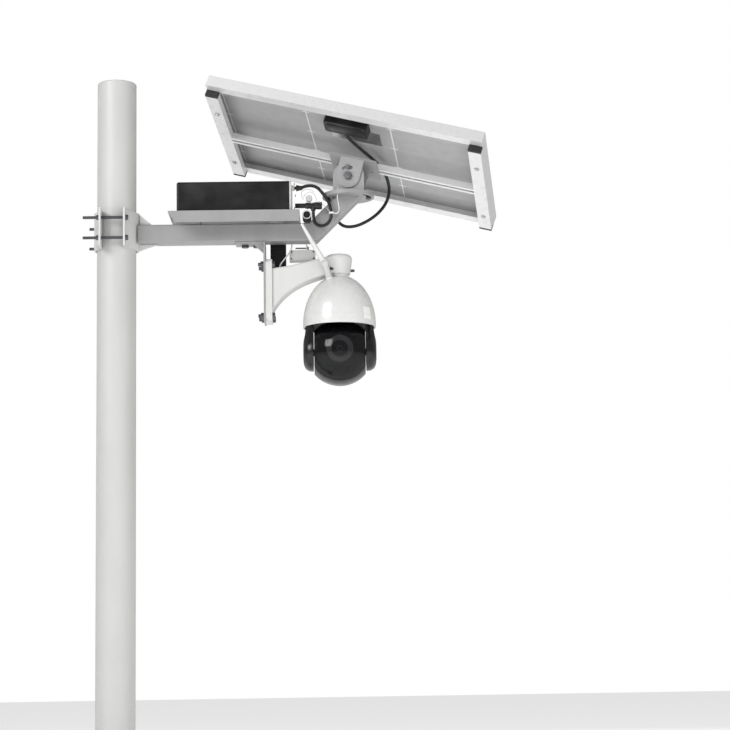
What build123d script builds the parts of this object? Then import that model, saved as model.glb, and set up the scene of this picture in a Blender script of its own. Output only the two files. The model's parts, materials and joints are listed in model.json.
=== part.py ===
from build123d import *
from math import asin, cos, pi, radians, sin, sqrt, tan
import os

os.makedirs("parts", exist_ok=True)

# ---------------------------------------------------------------- driving dimensions, mm and degrees
pole_d = 84
pole_wall = 3.5
base_side = 240
base_thick = 12
base_hole_d = 14
base_hole_spacing = 180

beam_z = 1200            # height of the square beam's axis
pole_top = beam_z + 333
beam_side = 40
beam_wall = 3
disc_x = 501             # the turntable's axis, out from the pole
disc_under_z = beam_z + 77
disc_d = 112
disc_thick = 4

jaw_height = 82
jaw_thick = 4
rod_d = 6
rod_spacing = 44

battery_x = 256
battery_length = 245
battery_width = 120
battery_height = 67
tray_length = 280
tray_width = 150
tray_z = beam_z + 37            # top of the tray's floor
sheet = 2

dome_x = 478             # the camera's pan axis, out from the pole
rim_z = beam_z - 208
dome_r = 78
dome_rise = 107
dome_centre_z = rim_z + 8
tilt_z = rim_z - 53             # height of the camera's tilt axis
head_r = 72
head_width = 109

turn_at_rest = -12.5
tilt_at_rest = 15.8
wedge_angle = 16.7
turn_range = 30
panel_length = 613
panel_width = 361
panel_depth = 25

fit = 0.05               # radial running clearance of shafts and pins
gap = 0.3                # clearance between bodies that slide past each other

pole_r = pole_d / 2
beam_half = beam_side / 2
dome_axis = (dome_x, 0)


def save(builder, name):
    builder.part.label = name
    export_step(builder.part, f"parts/{name}.step")


def upright(angle, z=0):
    """A vertical plane through the pole's axis, its own x axis pointing out at that angle."""
    c, s = cos(radians(angle)), sin(radians(angle))
    return Plane(origin=(0, 0, z), x_dir=(c, s, 0), z_dir=(s, -c, 0))


def hex_bolts(plane, points, shank_d, shank_length, across, head):
    """Hex heads that stand on a plane, with their shanks going down through it."""
    with BuildPart() as group:
        with BuildSketch(plane) as heads:
            with Locations(*points):
                RegularPolygon(across / 2, 6, major_radius=False)
        extrude(amount=head)
        with BuildSketch(plane) as shanks:
            with Locations(*points):
                Circle(shank_d / 2)
        extrude(amount=-shank_length)
    return group


def gear_outline(teeth, module, start=0.0):
    """Straight-flanked teeth with backlash, as corner points in order round the gear."""
    pitch_r = teeth * module / 2
    half_pitch = 0.68 * module
    levels = [(-1.2, 0.437), (0.85, -0.31)]
    points = []
    for tooth in range(teeth):
        middle = start + 2 * pi * tooth / teeth
        corners = [(pitch_r + rise * module, half_pitch + widen * module) for rise, widen in levels]
        for side, order in ((-1, corners), (1, reversed(corners))):
            for radius, half in order:
                angle = middle + side * half / radius
                points.append((radius * cos(angle), radius * sin(angle)))
    return points


def corner_radii(points):
    """0.45 of the shorter run at each corner, over the tangent of half its turn."""
    radii = []
    for before, here, after in zip(points, points[1:], points[2:]):
        run_in = Vector(*here) - Vector(*before)
        run_out = Vector(*after) - Vector(*here)
        half_turn = radians(run_in.get_angle(run_out) / 2)
        radii.append(0.45 * min(run_in.length, run_out.length) / tan(half_turn))
    return radii


def cord(name, route, diameter):
    """A round cord along straight runs and tangent arcs. The route's heights start at the beam's axis."""
    points = [(x, y, beam_z + rise) for x, y, rise in route]
    radii = corner_radii(points)
    with BuildPart() as tube:
        with BuildLine() as centre_line:
            FilletPolyline(*points, radius=radii)
        path = centre_line.wires()[0]
        with BuildSketch(Plane(origin=path @ 0, z_dir=path % 0)):
            Circle(diameter / 2)
        sweep(path=path)
    expected = pi * diameter ** 2 / 4 * path.length
    rounded = ", ".join(f"{radius:.0f}" for radius in radii)
    print(f"{name}: length {path.length:.0f}, volume ratio {tube.part.volume / expected:.3f}, radii {rounded}")
    save(tube, name)


# ---------------------------------------------------------------- pole and base
gusset_height = 45
gusset_thick = 6

with BuildPart() as pole_tube:
    with BuildSketch(Plane.XY.offset(base_thick)):
        Circle(pole_r)
        Circle(pole_r - pole_wall, mode=Mode.SUBTRACT)
    extrude(amount=pole_top - base_thick)
save(pole_tube, "pole_tube")

cap_skirt = 25
cap_wall = 3
cap_dome = 4
with BuildPart() as pole_cap:
    with BuildSketch(Plane.XY.offset(pole_top)):
        Circle(pole_r)
    extrude(amount=cap_dome)
    fillet(pole_cap.edges().group_by(Axis.Z)[-1], cap_dome * 0.7)
    with BuildSketch(Plane.XY.offset(pole_top)):
        Circle(pole_r - pole_wall)
        Circle(pole_r - pole_wall - cap_wall, mode=Mode.SUBTRACT)
    extrude(amount=-cap_skirt)
save(pole_cap, "pole_cap")

gusset_reach = (base_side / 2 - pole_r) * 0.8
with BuildPart() as base_flange:
    with BuildSketch():
        RectangleRounded(base_side, base_side, 14)
        with GridLocations(base_hole_spacing, base_hole_spacing, 2, 2):
            Circle(base_hole_d / 2, mode=Mode.SUBTRACT)
        Circle(pole_r - pole_wall, mode=Mode.SUBTRACT)
    extrude(amount=base_thick)
    for turn in range(4):
        with BuildSketch(upright(90 * turn, base_thick)):
            Polygon(
                (pole_r, 0), (pole_r + gusset_reach, 0), (pole_r + gusset_reach, 8),
                (pole_r + 8, gusset_height), (pole_r, gusset_height), align=None,
            )
        extrude(amount=gusset_thick / 2, both=True)
        with BuildSketch(Plane.XY.offset(base_thick)):
            Circle(pole_r)
        extrude(amount=gusset_height + 1, mode=Mode.SUBTRACT)
save(base_flange, "base_flange")

# ---------------------------------------------------------------- pole clamp
jaw_z = beam_z + 6
jaw_slope = 30
beam_flange_x = 21
rear_flange_x = 27
jaw_flat_x = pole_r + 1.5
rod_y = 58
flange_end_y = rod_y + 15


def jaw_line(flange_x, thickness):
    """Half of a jaw's outline, from its middle to the flange's end, at one depth of the plate."""
    reach = pole_r + fit + thickness
    c, s = cos(radians(jaw_slope)), sin(radians(jaw_slope))
    flat_x = jaw_flat_x + thickness
    foot_x = flange_x + thickness
    return [
        (flat_x, (reach - flat_x * c) / s),
        (foot_x, (reach - foot_x * c) / s),
        (foot_x, flange_end_y),
    ]


def jaw_outline(flange_x, side):
    """A V-shaped plate that wraps half of the pole, side +1 towards the beam and -1 away from it."""
    inner = jaw_line(flange_x, 0)
    outer = jaw_line(flange_x, jaw_thick)
    half = inner + outer[::-1]
    upper = outer[::-1][-1:] + [(x, -y) for x, y in outer]
    lower = [(x, -y) for x, y in inner[::-1]]
    return [(side * x, y) for x, y in half[:-1] + upper + lower]


def jaw(flange_x, side):
    with BuildPart() as plate:
        with BuildSketch(Plane.XY.offset(jaw_z - jaw_height / 2)):
            Polygon(*jaw_outline(flange_x, side), align=None)
        extrude(amount=jaw_height)
        with BuildSketch(Plane.YZ.offset(side * flange_x - jaw_thick)):
            with Locations((0, jaw_z)):
                with GridLocations(2 * rod_y, rod_spacing, 2, 2):
                    Circle(rod_d / 2 + gap)
        extrude(amount=2 * jaw_thick + jaw_thick, mode=Mode.SUBTRACT)
    return plate


jaw_back_x = jaw_flat_x + jaw_thick
beam_gusset_thick = 5
upper_gusset_reach = 32
lower_gusset_reach = 44
jaw_top = jaw_z + jaw_height / 2
jaw_bottom = jaw_z - jaw_height / 2
save(jaw(rear_flange_x, -1), "rear_jaw")
save(jaw(beam_flange_x, 1), "beam_jaw")

with BuildPart() as beam_gussets:
    with BuildSketch(Plane.XZ):
        Polygon(
            (jaw_back_x, beam_z + beam_half), (jaw_back_x + upper_gusset_reach, beam_z + beam_half),
            (jaw_back_x, jaw_top), align=None,
        )
        Polygon(
            (jaw_back_x, beam_z - beam_half), (jaw_back_x + lower_gusset_reach, beam_z - beam_half),
            (jaw_back_x, jaw_bottom), align=None,
        )
    extrude(amount=beam_gusset_thick / 2, both=True)
save(beam_gussets, "beam_gussets")

washer_thick = 1
rod_end_x = -(pole_r + 24)
rod_head = 4.2
rod_head_x = beam_flange_x + jaw_thick + washer_thick
rod_places = [(y, z) for y in (-rod_y, rod_y) for z in (jaw_z - rod_spacing / 2, jaw_z + rod_spacing / 2)]
clamp_bolts = hex_bolts(Plane.YZ.offset(rod_head_x), rod_places, rod_d, rod_head_x - rod_end_x, 10, rod_head)
save(clamp_bolts, "clamp_bolts")

nut_face_x = -(rear_flange_x + jaw_thick)
with BuildPart() as clamp_nuts:
    for face_x, direction in ((beam_flange_x + jaw_thick, 1), (nut_face_x, -1)):
        with BuildSketch(Plane.YZ.offset(face_x)):
            with Locations(*rod_places):
                Circle(rod_d)
                Circle(rod_d / 2 + fit, mode=Mode.SUBTRACT)
        extrude(amount=direction * washer_thick)
    with BuildSketch(Plane.YZ.offset(nut_face_x - washer_thick)):
        with Locations(*rod_places):
            RegularPolygon(5, 6, major_radius=False)
            Circle(rod_d / 2 + fit, mode=Mode.SUBTRACT)
    extrude(amount=-5)
save(clamp_nuts, "clamp_nuts")

# ---------------------------------------------------------------- beam, panel arm and the fixed disc
mitre_x = disc_x - (disc_under_z - beam_z)
mitre = Plane(origin=(mitre_x, 0, beam_z), x_dir=(0, 1, 0), z_dir=(cos(pi / 8), 0, sin(pi / 8)))


def square_tube(start, direction, length):
    with BuildPart() as tube:
        with BuildSketch(Plane(origin=start, x_dir=(0, 1, 0), z_dir=direction)):
            RectangleRounded(beam_side, beam_side, 4)
            RectangleRounded(beam_side - 2 * beam_wall, beam_side - 2 * beam_wall, 1.5, mode=Mode.SUBTRACT)
        extrude(amount=length)
    return tube


plate_bolt_d = 8
plate_bolt_places = [(277, 0), (302, 0)]
with BuildPart() as beam_tube:
    add(square_tube((jaw_back_x, 0, beam_z), (1, 0, 0), mitre_x + beam_side - jaw_back_x).part)
    split(bisect_by=mitre, keep=Keep.BOTTOM)
    with BuildSketch(Plane.XY.offset(beam_z - beam_half)):
        with Locations(*plate_bolt_places):
            Circle(plate_bolt_d / 2 + gap)
    extrude(amount=beam_wall, mode=Mode.SUBTRACT)
save(beam_tube, "beam_tube")

arm_start = (mitre_x - beam_side, 0, beam_z - beam_side)
with BuildPart() as panel_arm:
    add(square_tube(arm_start, (1, 0, 1), (disc_under_z - beam_z + 3 * beam_side) * sqrt(2)).part)
    split(bisect_by=mitre, keep=Keep.TOP)
    split(bisect_by=Plane.XY.offset(disc_under_z), keep=Keep.BOTTOM)
save(panel_arm, "panel_arm")

slot_r = 45
turn_bolt_d = 8
turn_slot_d = turn_bolt_d + 2 * gap
centre_bolt_d = 10
with BuildPart() as arm_disc:
    with BuildSketch(Plane(Location((disc_x, 0, disc_under_z), (0, 0, turn_at_rest)))):
        Circle(disc_d / 2)
        Circle(centre_bolt_d / 2 + fit, mode=Mode.SUBTRACT)
        for side in (0, 180):
            with BuildLine() as slot_middle:
                CenterArc((0, 0), slot_r, side - turn_range - 1, 2 * turn_range + 2)
            SlotArc(slot_middle.wires()[0], turn_slot_d, mode=Mode.SUBTRACT)
    extrude(amount=disc_thick)
save(arm_disc, "arm_disc")

# ---------------------------------------------------------------- battery on its tray
foot_width = 28
foot_length = 60
tray_flange = 25
tray_skew = 15
with BuildPart() as tray:
    with BuildSketch(Plane.XY.offset(tray_z - sheet)):
        with Locations((battery_x, 0)):
            Rectangle(tray_length, tray_width)
    extrude(amount=sheet)
    for side in (-1, 1):
        with BuildSketch(Plane.XZ.offset(side * (tray_width / 2 - sheet / 2))):
            with Locations((battery_x, tray_z - sheet)):
                Polygon(
                    (-tray_length / 2, 0), (tray_length / 2, 0), (tray_length / 2, sheet - tray_flange),
                    (tray_skew - tray_length / 2, sheet - tray_flange), align=None,
                )
        extrude(amount=sheet / 2, both=True)
    for offset in (-0.32, 0.32):
        with BuildSketch(Plane.XY.offset(beam_z + beam_half)):
            with Locations((battery_x + offset * tray_length, 0)):
                Rectangle(foot_width, foot_length)
        extrude(amount=tray_z - sheet - beam_z - beam_half)
save(tray, "tray")

case_wall = 3
case_end = 4
case_corner = 7
case_left = battery_x - battery_length / 2
with BuildPart() as battery_case:
    with BuildSketch(Plane.XY.offset(tray_z)):
        with Locations((battery_x - case_end / 2, 0)):
            Rectangle(battery_length - case_end, battery_width)
    extrude(amount=battery_height)
    fillet(battery_case.edges().filter_by(Axis.X), case_corner)
    fillet(battery_case.edges().group_by(Axis.X)[0], case_corner * 0.6)
    with BuildSketch(Plane.YZ.offset(case_left + case_wall)):
        with Locations((0, tray_z + battery_height / 2)):
            RectangleRounded(battery_width - 2 * case_wall, battery_height - 2 * case_wall, case_corner - case_wall)
    extrude(amount=battery_length, mode=Mode.SUBTRACT)
save(battery_case, "battery_case")

battery_end_x = battery_x + battery_length / 2
lead_y = -(beam_half + 13)
lead_d = 7
lead_exit_z = tray_z + battery_height - 11
gland_r = 6
gland_length = 6
with BuildPart() as battery_end_cap:
    with BuildSketch(Plane.YZ.offset(battery_end_x - case_end)):
        with Locations((0, tray_z + battery_height / 2)):
            RectangleRounded(battery_width, battery_height, case_corner)
    extrude(amount=case_end)
    with BuildSketch(Plane.YZ.offset(battery_end_x)):
        with Locations((lead_y, lead_exit_z)):
            Circle(gland_r)
    extrude(amount=gland_length)
save(battery_end_cap, "battery_end_cap")

cell_d = 25
cell_pitch = 26
cell_rows, cell_columns = 4, 8
with BuildPart() as battery_cells:
    with BuildSketch(Plane.XY.offset(tray_z + case_wall)):
        with Locations((battery_x - 6, 0)):
            with GridLocations(cell_pitch, cell_pitch, cell_columns, cell_rows):
                Circle(cell_d / 2)
    extrude(amount=battery_height - 2 * case_wall - 5)
save(battery_cells, "battery_cells")

# ---------------------------------------------------------------- turntable and tilt yoke
turn_top_z = disc_under_z + 2 * disc_thick
turn_place = Location((disc_x, 0, turn_top_z), (0, 0, turn_at_rest))
turn_plane = Plane(turn_place)
pivot_rise = 34
pivot_shift = 7
ear_thick = 4
ear_half_gap = 26        # middle of the yoke to the inner face of an ear
near_ear_r = 34
far_ear_r = 16
lock_r = 19              # pivot to lock bolt
pivot_d = 10
lock_d = 6
yoke_pivot = turn_place * Location((pivot_shift, 0, pivot_rise))
yoke_ear_plane = Plane(yoke_pivot * Location((0, 0, 0), (90, 0, 0)))

with BuildPart() as tilt_yoke:
    with BuildSketch(turn_plane.offset(-disc_thick)):
        Circle(disc_d / 2)
        Circle(centre_bolt_d / 2, mode=Mode.SUBTRACT)
        with Locations((-slot_r, 0), (slot_r, 0)):
            Circle(turn_bolt_d / 2, mode=Mode.SUBTRACT)
    extrude(amount=disc_thick)
    for side, top_r in ((1, near_ear_r), (-1, far_ear_r)):
        with BuildSketch(yoke_ear_plane.offset(side * ear_half_gap)):
            Circle(top_r)
            with Locations((0, -pivot_rise)):
                Rectangle(2 * near_ear_r, 1, align=(Align.CENTER, Align.MIN))
            make_hull()
            Circle(pivot_d / 2 + fit, mode=Mode.SUBTRACT)
            if top_r > lock_r:
                with Locations((0, lock_r)):
                    Circle(lock_d / 2, mode=Mode.SUBTRACT)
        extrude(amount=side * ear_thick)
save(tilt_yoke, "tilt_yoke")

disc_head = 4
disc_head_across = 10
with BuildPart() as turntable_bolts:
    with BuildSketch(turn_plane.offset(-2 * disc_thick)):
        with Locations((-slot_r, 0), (slot_r, 0)):
            RegularPolygon(disc_head_across / 2, 6, major_radius=False)
    extrude(amount=-disc_head)
    with BuildSketch(turn_plane.offset(-2 * disc_thick)):
        with Locations((-slot_r, 0), (slot_r, 0)):
            Circle(turn_bolt_d / 2)
    extrude(amount=2 * disc_thick + 1)
    with BuildSketch(turn_plane.offset(-2 * disc_thick - 3)):
        Circle(centre_bolt_d / 2)
    extrude(amount=2 * disc_thick + 6)
    with BuildSketch(turn_plane):
        with Locations((-slot_r, 0), (slot_r, 0), (0, 0)):
            RegularPolygon(disc_head_across / 2, 6, major_radius=False)
    extrude(amount=4)
save(turntable_bolts, "turntable_bolts")

# ---------------------------------------------------------------- saddle, turned by the tilt joint
tilt_place = yoke_pivot * Location((0, 0, 0), (0, tilt_at_rest, 0))
wedge_place = tilt_place * Location((0, 0, 0), (-wedge_angle, 0, 0))
saddle_ear_plane = Plane(tilt_place * Location((0, 0, 0), (90, 0, 0)))
rail_depth = 14
rail_width = 20
pivot_to_frame = 45.6
saddle_ear_r = 26
saddle_plate = 4
saddle_length = 107
saddle_width = 80
saddle_middle = -6       # the plate reaches further on the side where the wedge is deep
saddle_top = pivot_to_frame - rail_depth
saddle_under = Plane(wedge_place).offset(saddle_top - saddle_plate)
saddle_ear_in = ear_half_gap + ear_thick + gap
tilt_down, tilt_up = 25, 20
slot_margin = 4

with BuildPart() as saddle:
    for side in (1, -1):
        with BuildSketch(saddle_ear_plane.offset(side * saddle_ear_in)):
            Circle(saddle_ear_r)
            with Locations((0, 0)):
                Rectangle(2 * saddle_ear_r, 2 * saddle_ear_r, align=(Align.CENTER, Align.MIN))
            Circle(pivot_d / 2 + fit, mode=Mode.SUBTRACT)
            if side == 1:
                with BuildLine() as lock_slot:
                    CenterArc((0, 0), lock_r, 90 + tilt_at_rest - tilt_up - slot_margin,
                              tilt_up + tilt_down + 2 * slot_margin)
                SlotArc(lock_slot.wires()[0], lock_d + 2 * gap, mode=Mode.SUBTRACT)
        extrude(amount=side * ear_thick)
    split(bisect_by=saddle_under, keep=Keep.BOTTOM)
    with BuildSketch(saddle_under):
        with Locations((0, saddle_middle)):
            Rectangle(saddle_length, saddle_width)
        with Locations((-40, 0), (40, 0)):
            Circle(2.5, mode=Mode.SUBTRACT)
    extrude(amount=saddle_plate)
save(saddle, "saddle")

ear_out = saddle_ear_in + ear_thick
with BuildPart() as tilt_bolts:
    for centre, diameter in (((0, 0), pivot_d), ((0, lock_r), lock_d)):
        start = ear_out + gap
        length = 2 * start if diameter == pivot_d else ear_thick + gap + ear_thick + gap + 4
        with BuildSketch(yoke_ear_plane.offset(start)):
            with Locations(centre):
                RegularPolygon(diameter * 0.8, 6, major_radius=False)
        extrude(amount=diameter * 0.6)
        with BuildSketch(yoke_ear_plane.offset(start)):
            with Locations(centre):
                Circle(diameter / 2)
        extrude(amount=-length)
        with BuildSketch(yoke_ear_plane.offset(start - length)):
            with Locations(centre):
                RegularPolygon(diameter * 0.8, 6, major_radius=False)
        if diameter == pivot_d:
            extrude(amount=-diameter * 0.5)
        else:
            extrude(amount=3.5)
save(tilt_bolts, "tilt_bolts")

# ---------------------------------------------------------------- solar panel
panel_shift_u = -10
panel_shift_v = -16
panel_place = wedge_place * Location((panel_shift_u, panel_shift_v, pivot_to_frame))
panel_plane = Plane(panel_place)
rail_v = -panel_shift_v
member = 8               # hollow side of a frame member
lip = 22                 # rear lip of a frame member
lip_thick = 1.6
glass_thick = 3.2
cell_thick = 1
back_thick = 0.5
laminate_top = panel_depth - 1.5
glass_under = laminate_top - glass_thick
pocket = 4               # how far the laminate runs into the frame


def frame_sides(along_u):
    """Hollow wall, rear lip and front bead of two facing frame members, as solid strips."""
    laminate_under = glass_under - cell_thick - back_thick
    strips = ((member, 0, laminate_under), (lip, 0, lip_thick),
              (member - pocket, 0, panel_depth), (member, laminate_top, panel_depth))
    with BuildPart() as sides:
        for width, low, high in strips:
            with BuildSketch(panel_plane.offset(low)):
                for side in (-1, 1):
                    if along_u:
                        with Locations((0, side * (panel_width - width) / 2)):
                            Rectangle(panel_length, width)
                    else:
                        clear = lip if high == lip_thick else member
                        with Locations((side * (panel_length - width) / 2, 0)):
                            Rectangle(width, panel_width - 2 * clear)
            extrude(amount=high - low)
        if not along_u:
            with BuildSketch(panel_plane):
                for side in (-1, 1):
                    with Locations((0, side * panel_width / 2)):
                        Rectangle(panel_length, 2 * lip)
            extrude(amount=lip_thick, mode=Mode.SUBTRACT)
    return sides


save(frame_sides(along_u=True), "frame_long_sides")
save(frame_sides(along_u=False), "frame_short_sides")


def laminate(low, thickness):
    with BuildPart() as layer:
        with BuildSketch(panel_plane.offset(low)):
            Rectangle(panel_length - 2 * (member - pocket) - gap, panel_width - 2 * (member - pocket) - gap)
        extrude(amount=thickness)
    return layer


save(laminate(glass_under, glass_thick), "panel_glass")
save(laminate(glass_under - cell_thick - back_thick, cell_thick + back_thick), "cell_sheet")

backsheet_n = glass_under - cell_thick - back_thick
box_u, box_v = 96, 42
box_centre = (0, -112)
box_depth = 19
lead_u = -8
lead_n = 11
box_side = Plane(panel_place * Location((0, box_centre[1] + box_v / 2, 0), (-90, 0, 180)))
with BuildPart() as junction_box:
    with BuildSketch(panel_plane.offset(backsheet_n)):
        with Locations(box_centre):
            RectangleRounded(box_u, box_v, 5)
    extrude(amount=-box_depth + 3)
    with BuildSketch(panel_plane.offset(backsheet_n - 2)):
        with Locations(box_centre):
            RectangleRounded(box_u - 5, box_v - 5, 3)
    extrude(amount=-box_depth, mode=Mode.SUBTRACT)
    with BuildSketch(box_side):
        with Locations((-lead_u, lead_n)):
            Circle(gland_r)
    extrude(amount=gland_length)
save(junction_box, "junction_box")

with BuildPart() as junction_lid:
    with BuildSketch(panel_plane.offset(backsheet_n - box_depth + 3)):
        with Locations(box_centre):
            RectangleRounded(box_u, box_v, 5)
    extrude(amount=-3)
save(junction_lid, "junction_lid")

channel_wall = 2
rail_slot = 6


def channel(along_u, centre, length, width, slot):
    """A hollow rail under the frame, with or without a slot facing down."""
    def outline(over, across):
        return (length + over, across) if along_u else (across, length + over)

    steps = [
        (outline(0, width), -rail_depth, 0, Mode.ADD),
        (outline(1, width - 2 * channel_wall), channel_wall - rail_depth, -channel_wall, Mode.SUBTRACT),
    ]
    if slot:
        steps.append((outline(1, slot), -rail_depth, -channel_wall, Mode.SUBTRACT))
    with BuildPart() as rail:
        for size, low, high, mode in steps:
            with BuildSketch(panel_plane.offset(low)):
                with Locations(centre):
                    Rectangle(*size)
            extrude(amount=high - low, mode=mode)
    return rail


end_rail_width = 28
end_rail_u = panel_length / 2 - end_rail_width / 2
end_rail_length = panel_width - 33
end_rail_v = 8.5         # the rails stop short of the frame on the junction box's side
save(channel(True, (0, rail_v), panel_length - 2 * end_rail_width, rail_width, rail_slot), "centre_rail")

with BuildPart() as end_rails:
    for u in (-end_rail_u, end_rail_u):
        add(channel(False, (u, end_rail_v), end_rail_length, end_rail_width, 0).part)
save(end_rails, "end_rails")

cap_length = 7
with BuildPart() as rail_end_caps:
    with BuildSketch(panel_plane.offset(-rail_depth)):
        for u in (-end_rail_u, end_rail_u):
            for side in (-1, 1):
                with Locations((u, end_rail_v + side * (end_rail_length + cap_length) / 2)):
                    Rectangle(end_rail_width, cap_length)
    extrude(amount=rail_depth)
save(rail_end_caps, "rail_end_caps")

# ---------------------------------------------------------------- camera bracket and cast arm
bracket_left = 257
bracket_thick = 4
bracket_width = 60
wall_x = 321             # face that the camera's wall plate is bolted to
wall_top = beam_z - 59
wall_bottom = rim_z + 12
wall_thick = 14
beam_under = beam_z - beam_half
bracket_under = beam_under - bracket_thick

with BuildPart() as camera_bracket:
    with BuildSketch(Plane.XY.offset(bracket_under)):
        with Locations(((bracket_left + wall_x) / 2, 0)):
            Rectangle(wall_x - bracket_left, beam_side)
        with Locations(*plate_bolt_places):
            Circle(plate_bolt_d / 2 + gap, mode=Mode.SUBTRACT)
    extrude(amount=bracket_thick)
    with BuildSketch(Plane.YZ.offset(wall_x - bracket_thick)):
        with Locations((0, wall_bottom)):
            Rectangle(bracket_width, bracket_under - wall_bottom, align=(Align.CENTER, Align.MIN))
        with Locations((0, (wall_top + wall_bottom) / 2)):
            with GridLocations(44, 112, 2, 2):
                Circle(4.3, mode=Mode.SUBTRACT)
    extrude(amount=bracket_thick)
    with BuildSketch(Plane.XZ.offset(beam_half - 4)):
        Polygon((wall_x - bracket_thick, bracket_under), (wall_x - bracket_thick, bracket_under - 22),
                (wall_x - bracket_thick - 24, bracket_under), align=None)
    extrude(amount=4)
save(camera_bracket, "camera_bracket")

terminal_x = 400
terminal_size = (56, 26, 23)
terminal_top = beam_z - 34
hanger = 3
hanger_x = terminal_x + 8
hanger_screw = (beam_half - 4, terminal_top + 5)
plate_bolts = hex_bolts(Plane(origin=(0, 0, bracket_under), x_dir=(1, 0, 0), z_dir=(0, 0, -1)),
                        plate_bolt_places, plate_bolt_d, bracket_thick + beam_wall + 6, 13, 6)
hanger_bolt = hex_bolts(Plane.YZ.offset(hanger_x + hanger), [hanger_screw], 3, 26, 6, 3)
with BuildPart() as bracket_bolts:
    add(plate_bolts.part)
    add(hanger_bolt.part)
save(bracket_bolts, "bracket_bolts")

collar_top = beam_z - 49
collar_bottom = collar_top - 43
collar_r_top = 29
collar_r_bottom = 24.5
socket_r = 20.3
socket_top = collar_bottom + 20
arm_width = 50
plate_width = 58
tunnel_r = 6
tunnel_z = collar_bottom + 6
cable_exit_x = 348
arm_face_x = wall_x + wall_thick
arm_low = wall_bottom + 16
screw_z = collar_bottom + 9
screw_d = 6
screw_turns = (0, 120, 240)

with BuildPart() as cast_arm:
    with BuildSketch(Plane.XZ):
        with BuildLine():
            Polyline((arm_face_x - 2, arm_low), (arm_face_x - 2, wall_top - 20), (374, wall_top - 15),
                     (449, collar_top - 7), (dome_x, collar_top - 2), (dome_x, collar_bottom + 4))
            Spline((dome_x, collar_bottom + 4), (446, collar_bottom - 5), (395, collar_bottom - 24),
                   (358, collar_bottom - 51), (arm_face_x - 2, arm_low))
        make_face()
    extrude(amount=arm_width / 2, both=True)
    fillet(cast_arm.edges().filter_by(lambda edge: edge.length > 30).group_by(Axis.Y)[0], 5)
    fillet(cast_arm.edges().filter_by(lambda edge: edge.length > 30).group_by(Axis.Y)[-1], 5)
    with BuildSketch(Plane.YZ.offset(wall_x)):
        with Locations((0, (wall_top + wall_bottom) / 2)):
            RectangleRounded(plate_width, wall_top - wall_bottom, 12)
    extrude(amount=wall_thick)
    with BuildSketch(Plane.XZ):
        with BuildLine():
            Polyline((dome_x, collar_bottom), (dome_x + collar_r_bottom, collar_bottom),
                     (dome_x + collar_r_top, collar_top - 10))
            RadiusArc((dome_x + collar_r_top, collar_top - 10), (dome_x + collar_r_top - 8, collar_top), -10)
            Polyline((dome_x + collar_r_top - 8, collar_top), (dome_x, collar_top), (dome_x, collar_bottom))
        make_face()
    revolve(axis=Axis((dome_x, 0, 0), (0, 0, 1)))
    with BuildSketch(Plane.XY.offset(collar_bottom - 10)):
        with Locations(dome_axis):
            Circle(socket_r)
    extrude(amount=socket_top - collar_bottom + 10, mode=Mode.SUBTRACT)
    with BuildSketch(Plane.YZ.offset(cable_exit_x)):
        with Locations((0, tunnel_z)):
            Circle(tunnel_r)
    extrude(amount=dome_x - cable_exit_x, mode=Mode.SUBTRACT)
    with BuildSketch(Plane.XY.offset(tunnel_z)):
        with Locations((cable_exit_x, 0)):
            Circle(tunnel_r)
    extrude(amount=30, mode=Mode.SUBTRACT)
    with BuildSketch(Plane.YZ.offset(wall_x)):
        with Locations((0, (wall_top + wall_bottom) / 2)):
            with GridLocations(44, 112, 2, 2):
                Circle(4.3)
    extrude(amount=wall_thick, mode=Mode.SUBTRACT)
    for turn in screw_turns:
        with BuildSketch(Plane(origin=(dome_x, 0, screw_z), z_dir=(cos(radians(turn)), sin(radians(turn)), 0))):
            Circle(screw_d / 2)
        extrude(amount=2 * collar_r_top, mode=Mode.SUBTRACT)
save(cast_arm, "cast_arm")

arm_bolt_places = [(y, (wall_top + wall_bottom) / 2 + z) for y in (-22, 22) for z in (-56, 56)]
wall_bolts = hex_bolts(Plane.YZ.offset(arm_face_x), arm_bolt_places, 8, wall_thick + bracket_thick + 12, 13, 6)
with BuildPart() as arm_bolts:
    add(wall_bolts.part)
    with BuildSketch(Plane.YZ.offset(wall_x - bracket_thick)):
        with Locations(*arm_bolt_places):
            RegularPolygon(6.5, 6, major_radius=False)
    extrude(amount=-6.5)
save(arm_bolts, "arm_bolts")

neck_r = socket_r - fit
screw_reach = collar_r_top + 5
with BuildPart() as collar_screws:
    for turn in screw_turns:
        outward = (cos(radians(turn)), sin(radians(turn)), 0)
        with BuildSketch(Plane(origin=Vector(dome_x, 0, screw_z) + Vector(*outward) * neck_r, z_dir=outward)):
            Circle(screw_d / 2 - fit)
        extrude(amount=screw_reach - neck_r)
save(collar_screws, "collar_screws")

# ---------------------------------------------------------------- where the antenna stands
antenna_r = 34
antenna_bearing = radians(233)
antenna_lean = radians(29)
antenna_d = 14
antenna_base_length = 34
antenna_fold = radians(11.6)
whip_length = 100
whip_tip_d = 6
knuckle_r = antenna_d / 2
tongue = 6
boss_height = 4
foot_x, foot_y = cos(antenna_bearing), sin(antenna_bearing)
foot_z = dome_centre_z + dome_rise * sqrt(1 - (antenna_r / dome_r) ** 2)
base_way = Vector(foot_x * sin(antenna_lean), foot_y * sin(antenna_lean), cos(antenna_lean))
fold_way = Vector(-base_way.Z, 0, base_way.X).normalized()
antenna_foot = Vector(dome_x + antenna_r * foot_x, antenna_r * foot_y, foot_z)
antenna_plane = Plane(origin=antenna_foot, x_dir=fold_way, z_dir=base_way)
knuckle = antenna_foot + base_way * antenna_base_length
pin_way = base_way.cross(fold_way)
whip_way = base_way * cos(antenna_fold) + fold_way * sin(antenna_fold)
pin_plane = Plane(origin=knuckle, x_dir=whip_way, z_dir=pin_way)
whip_plane = Plane(origin=knuckle, x_dir=pin_way, z_dir=whip_way)

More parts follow.
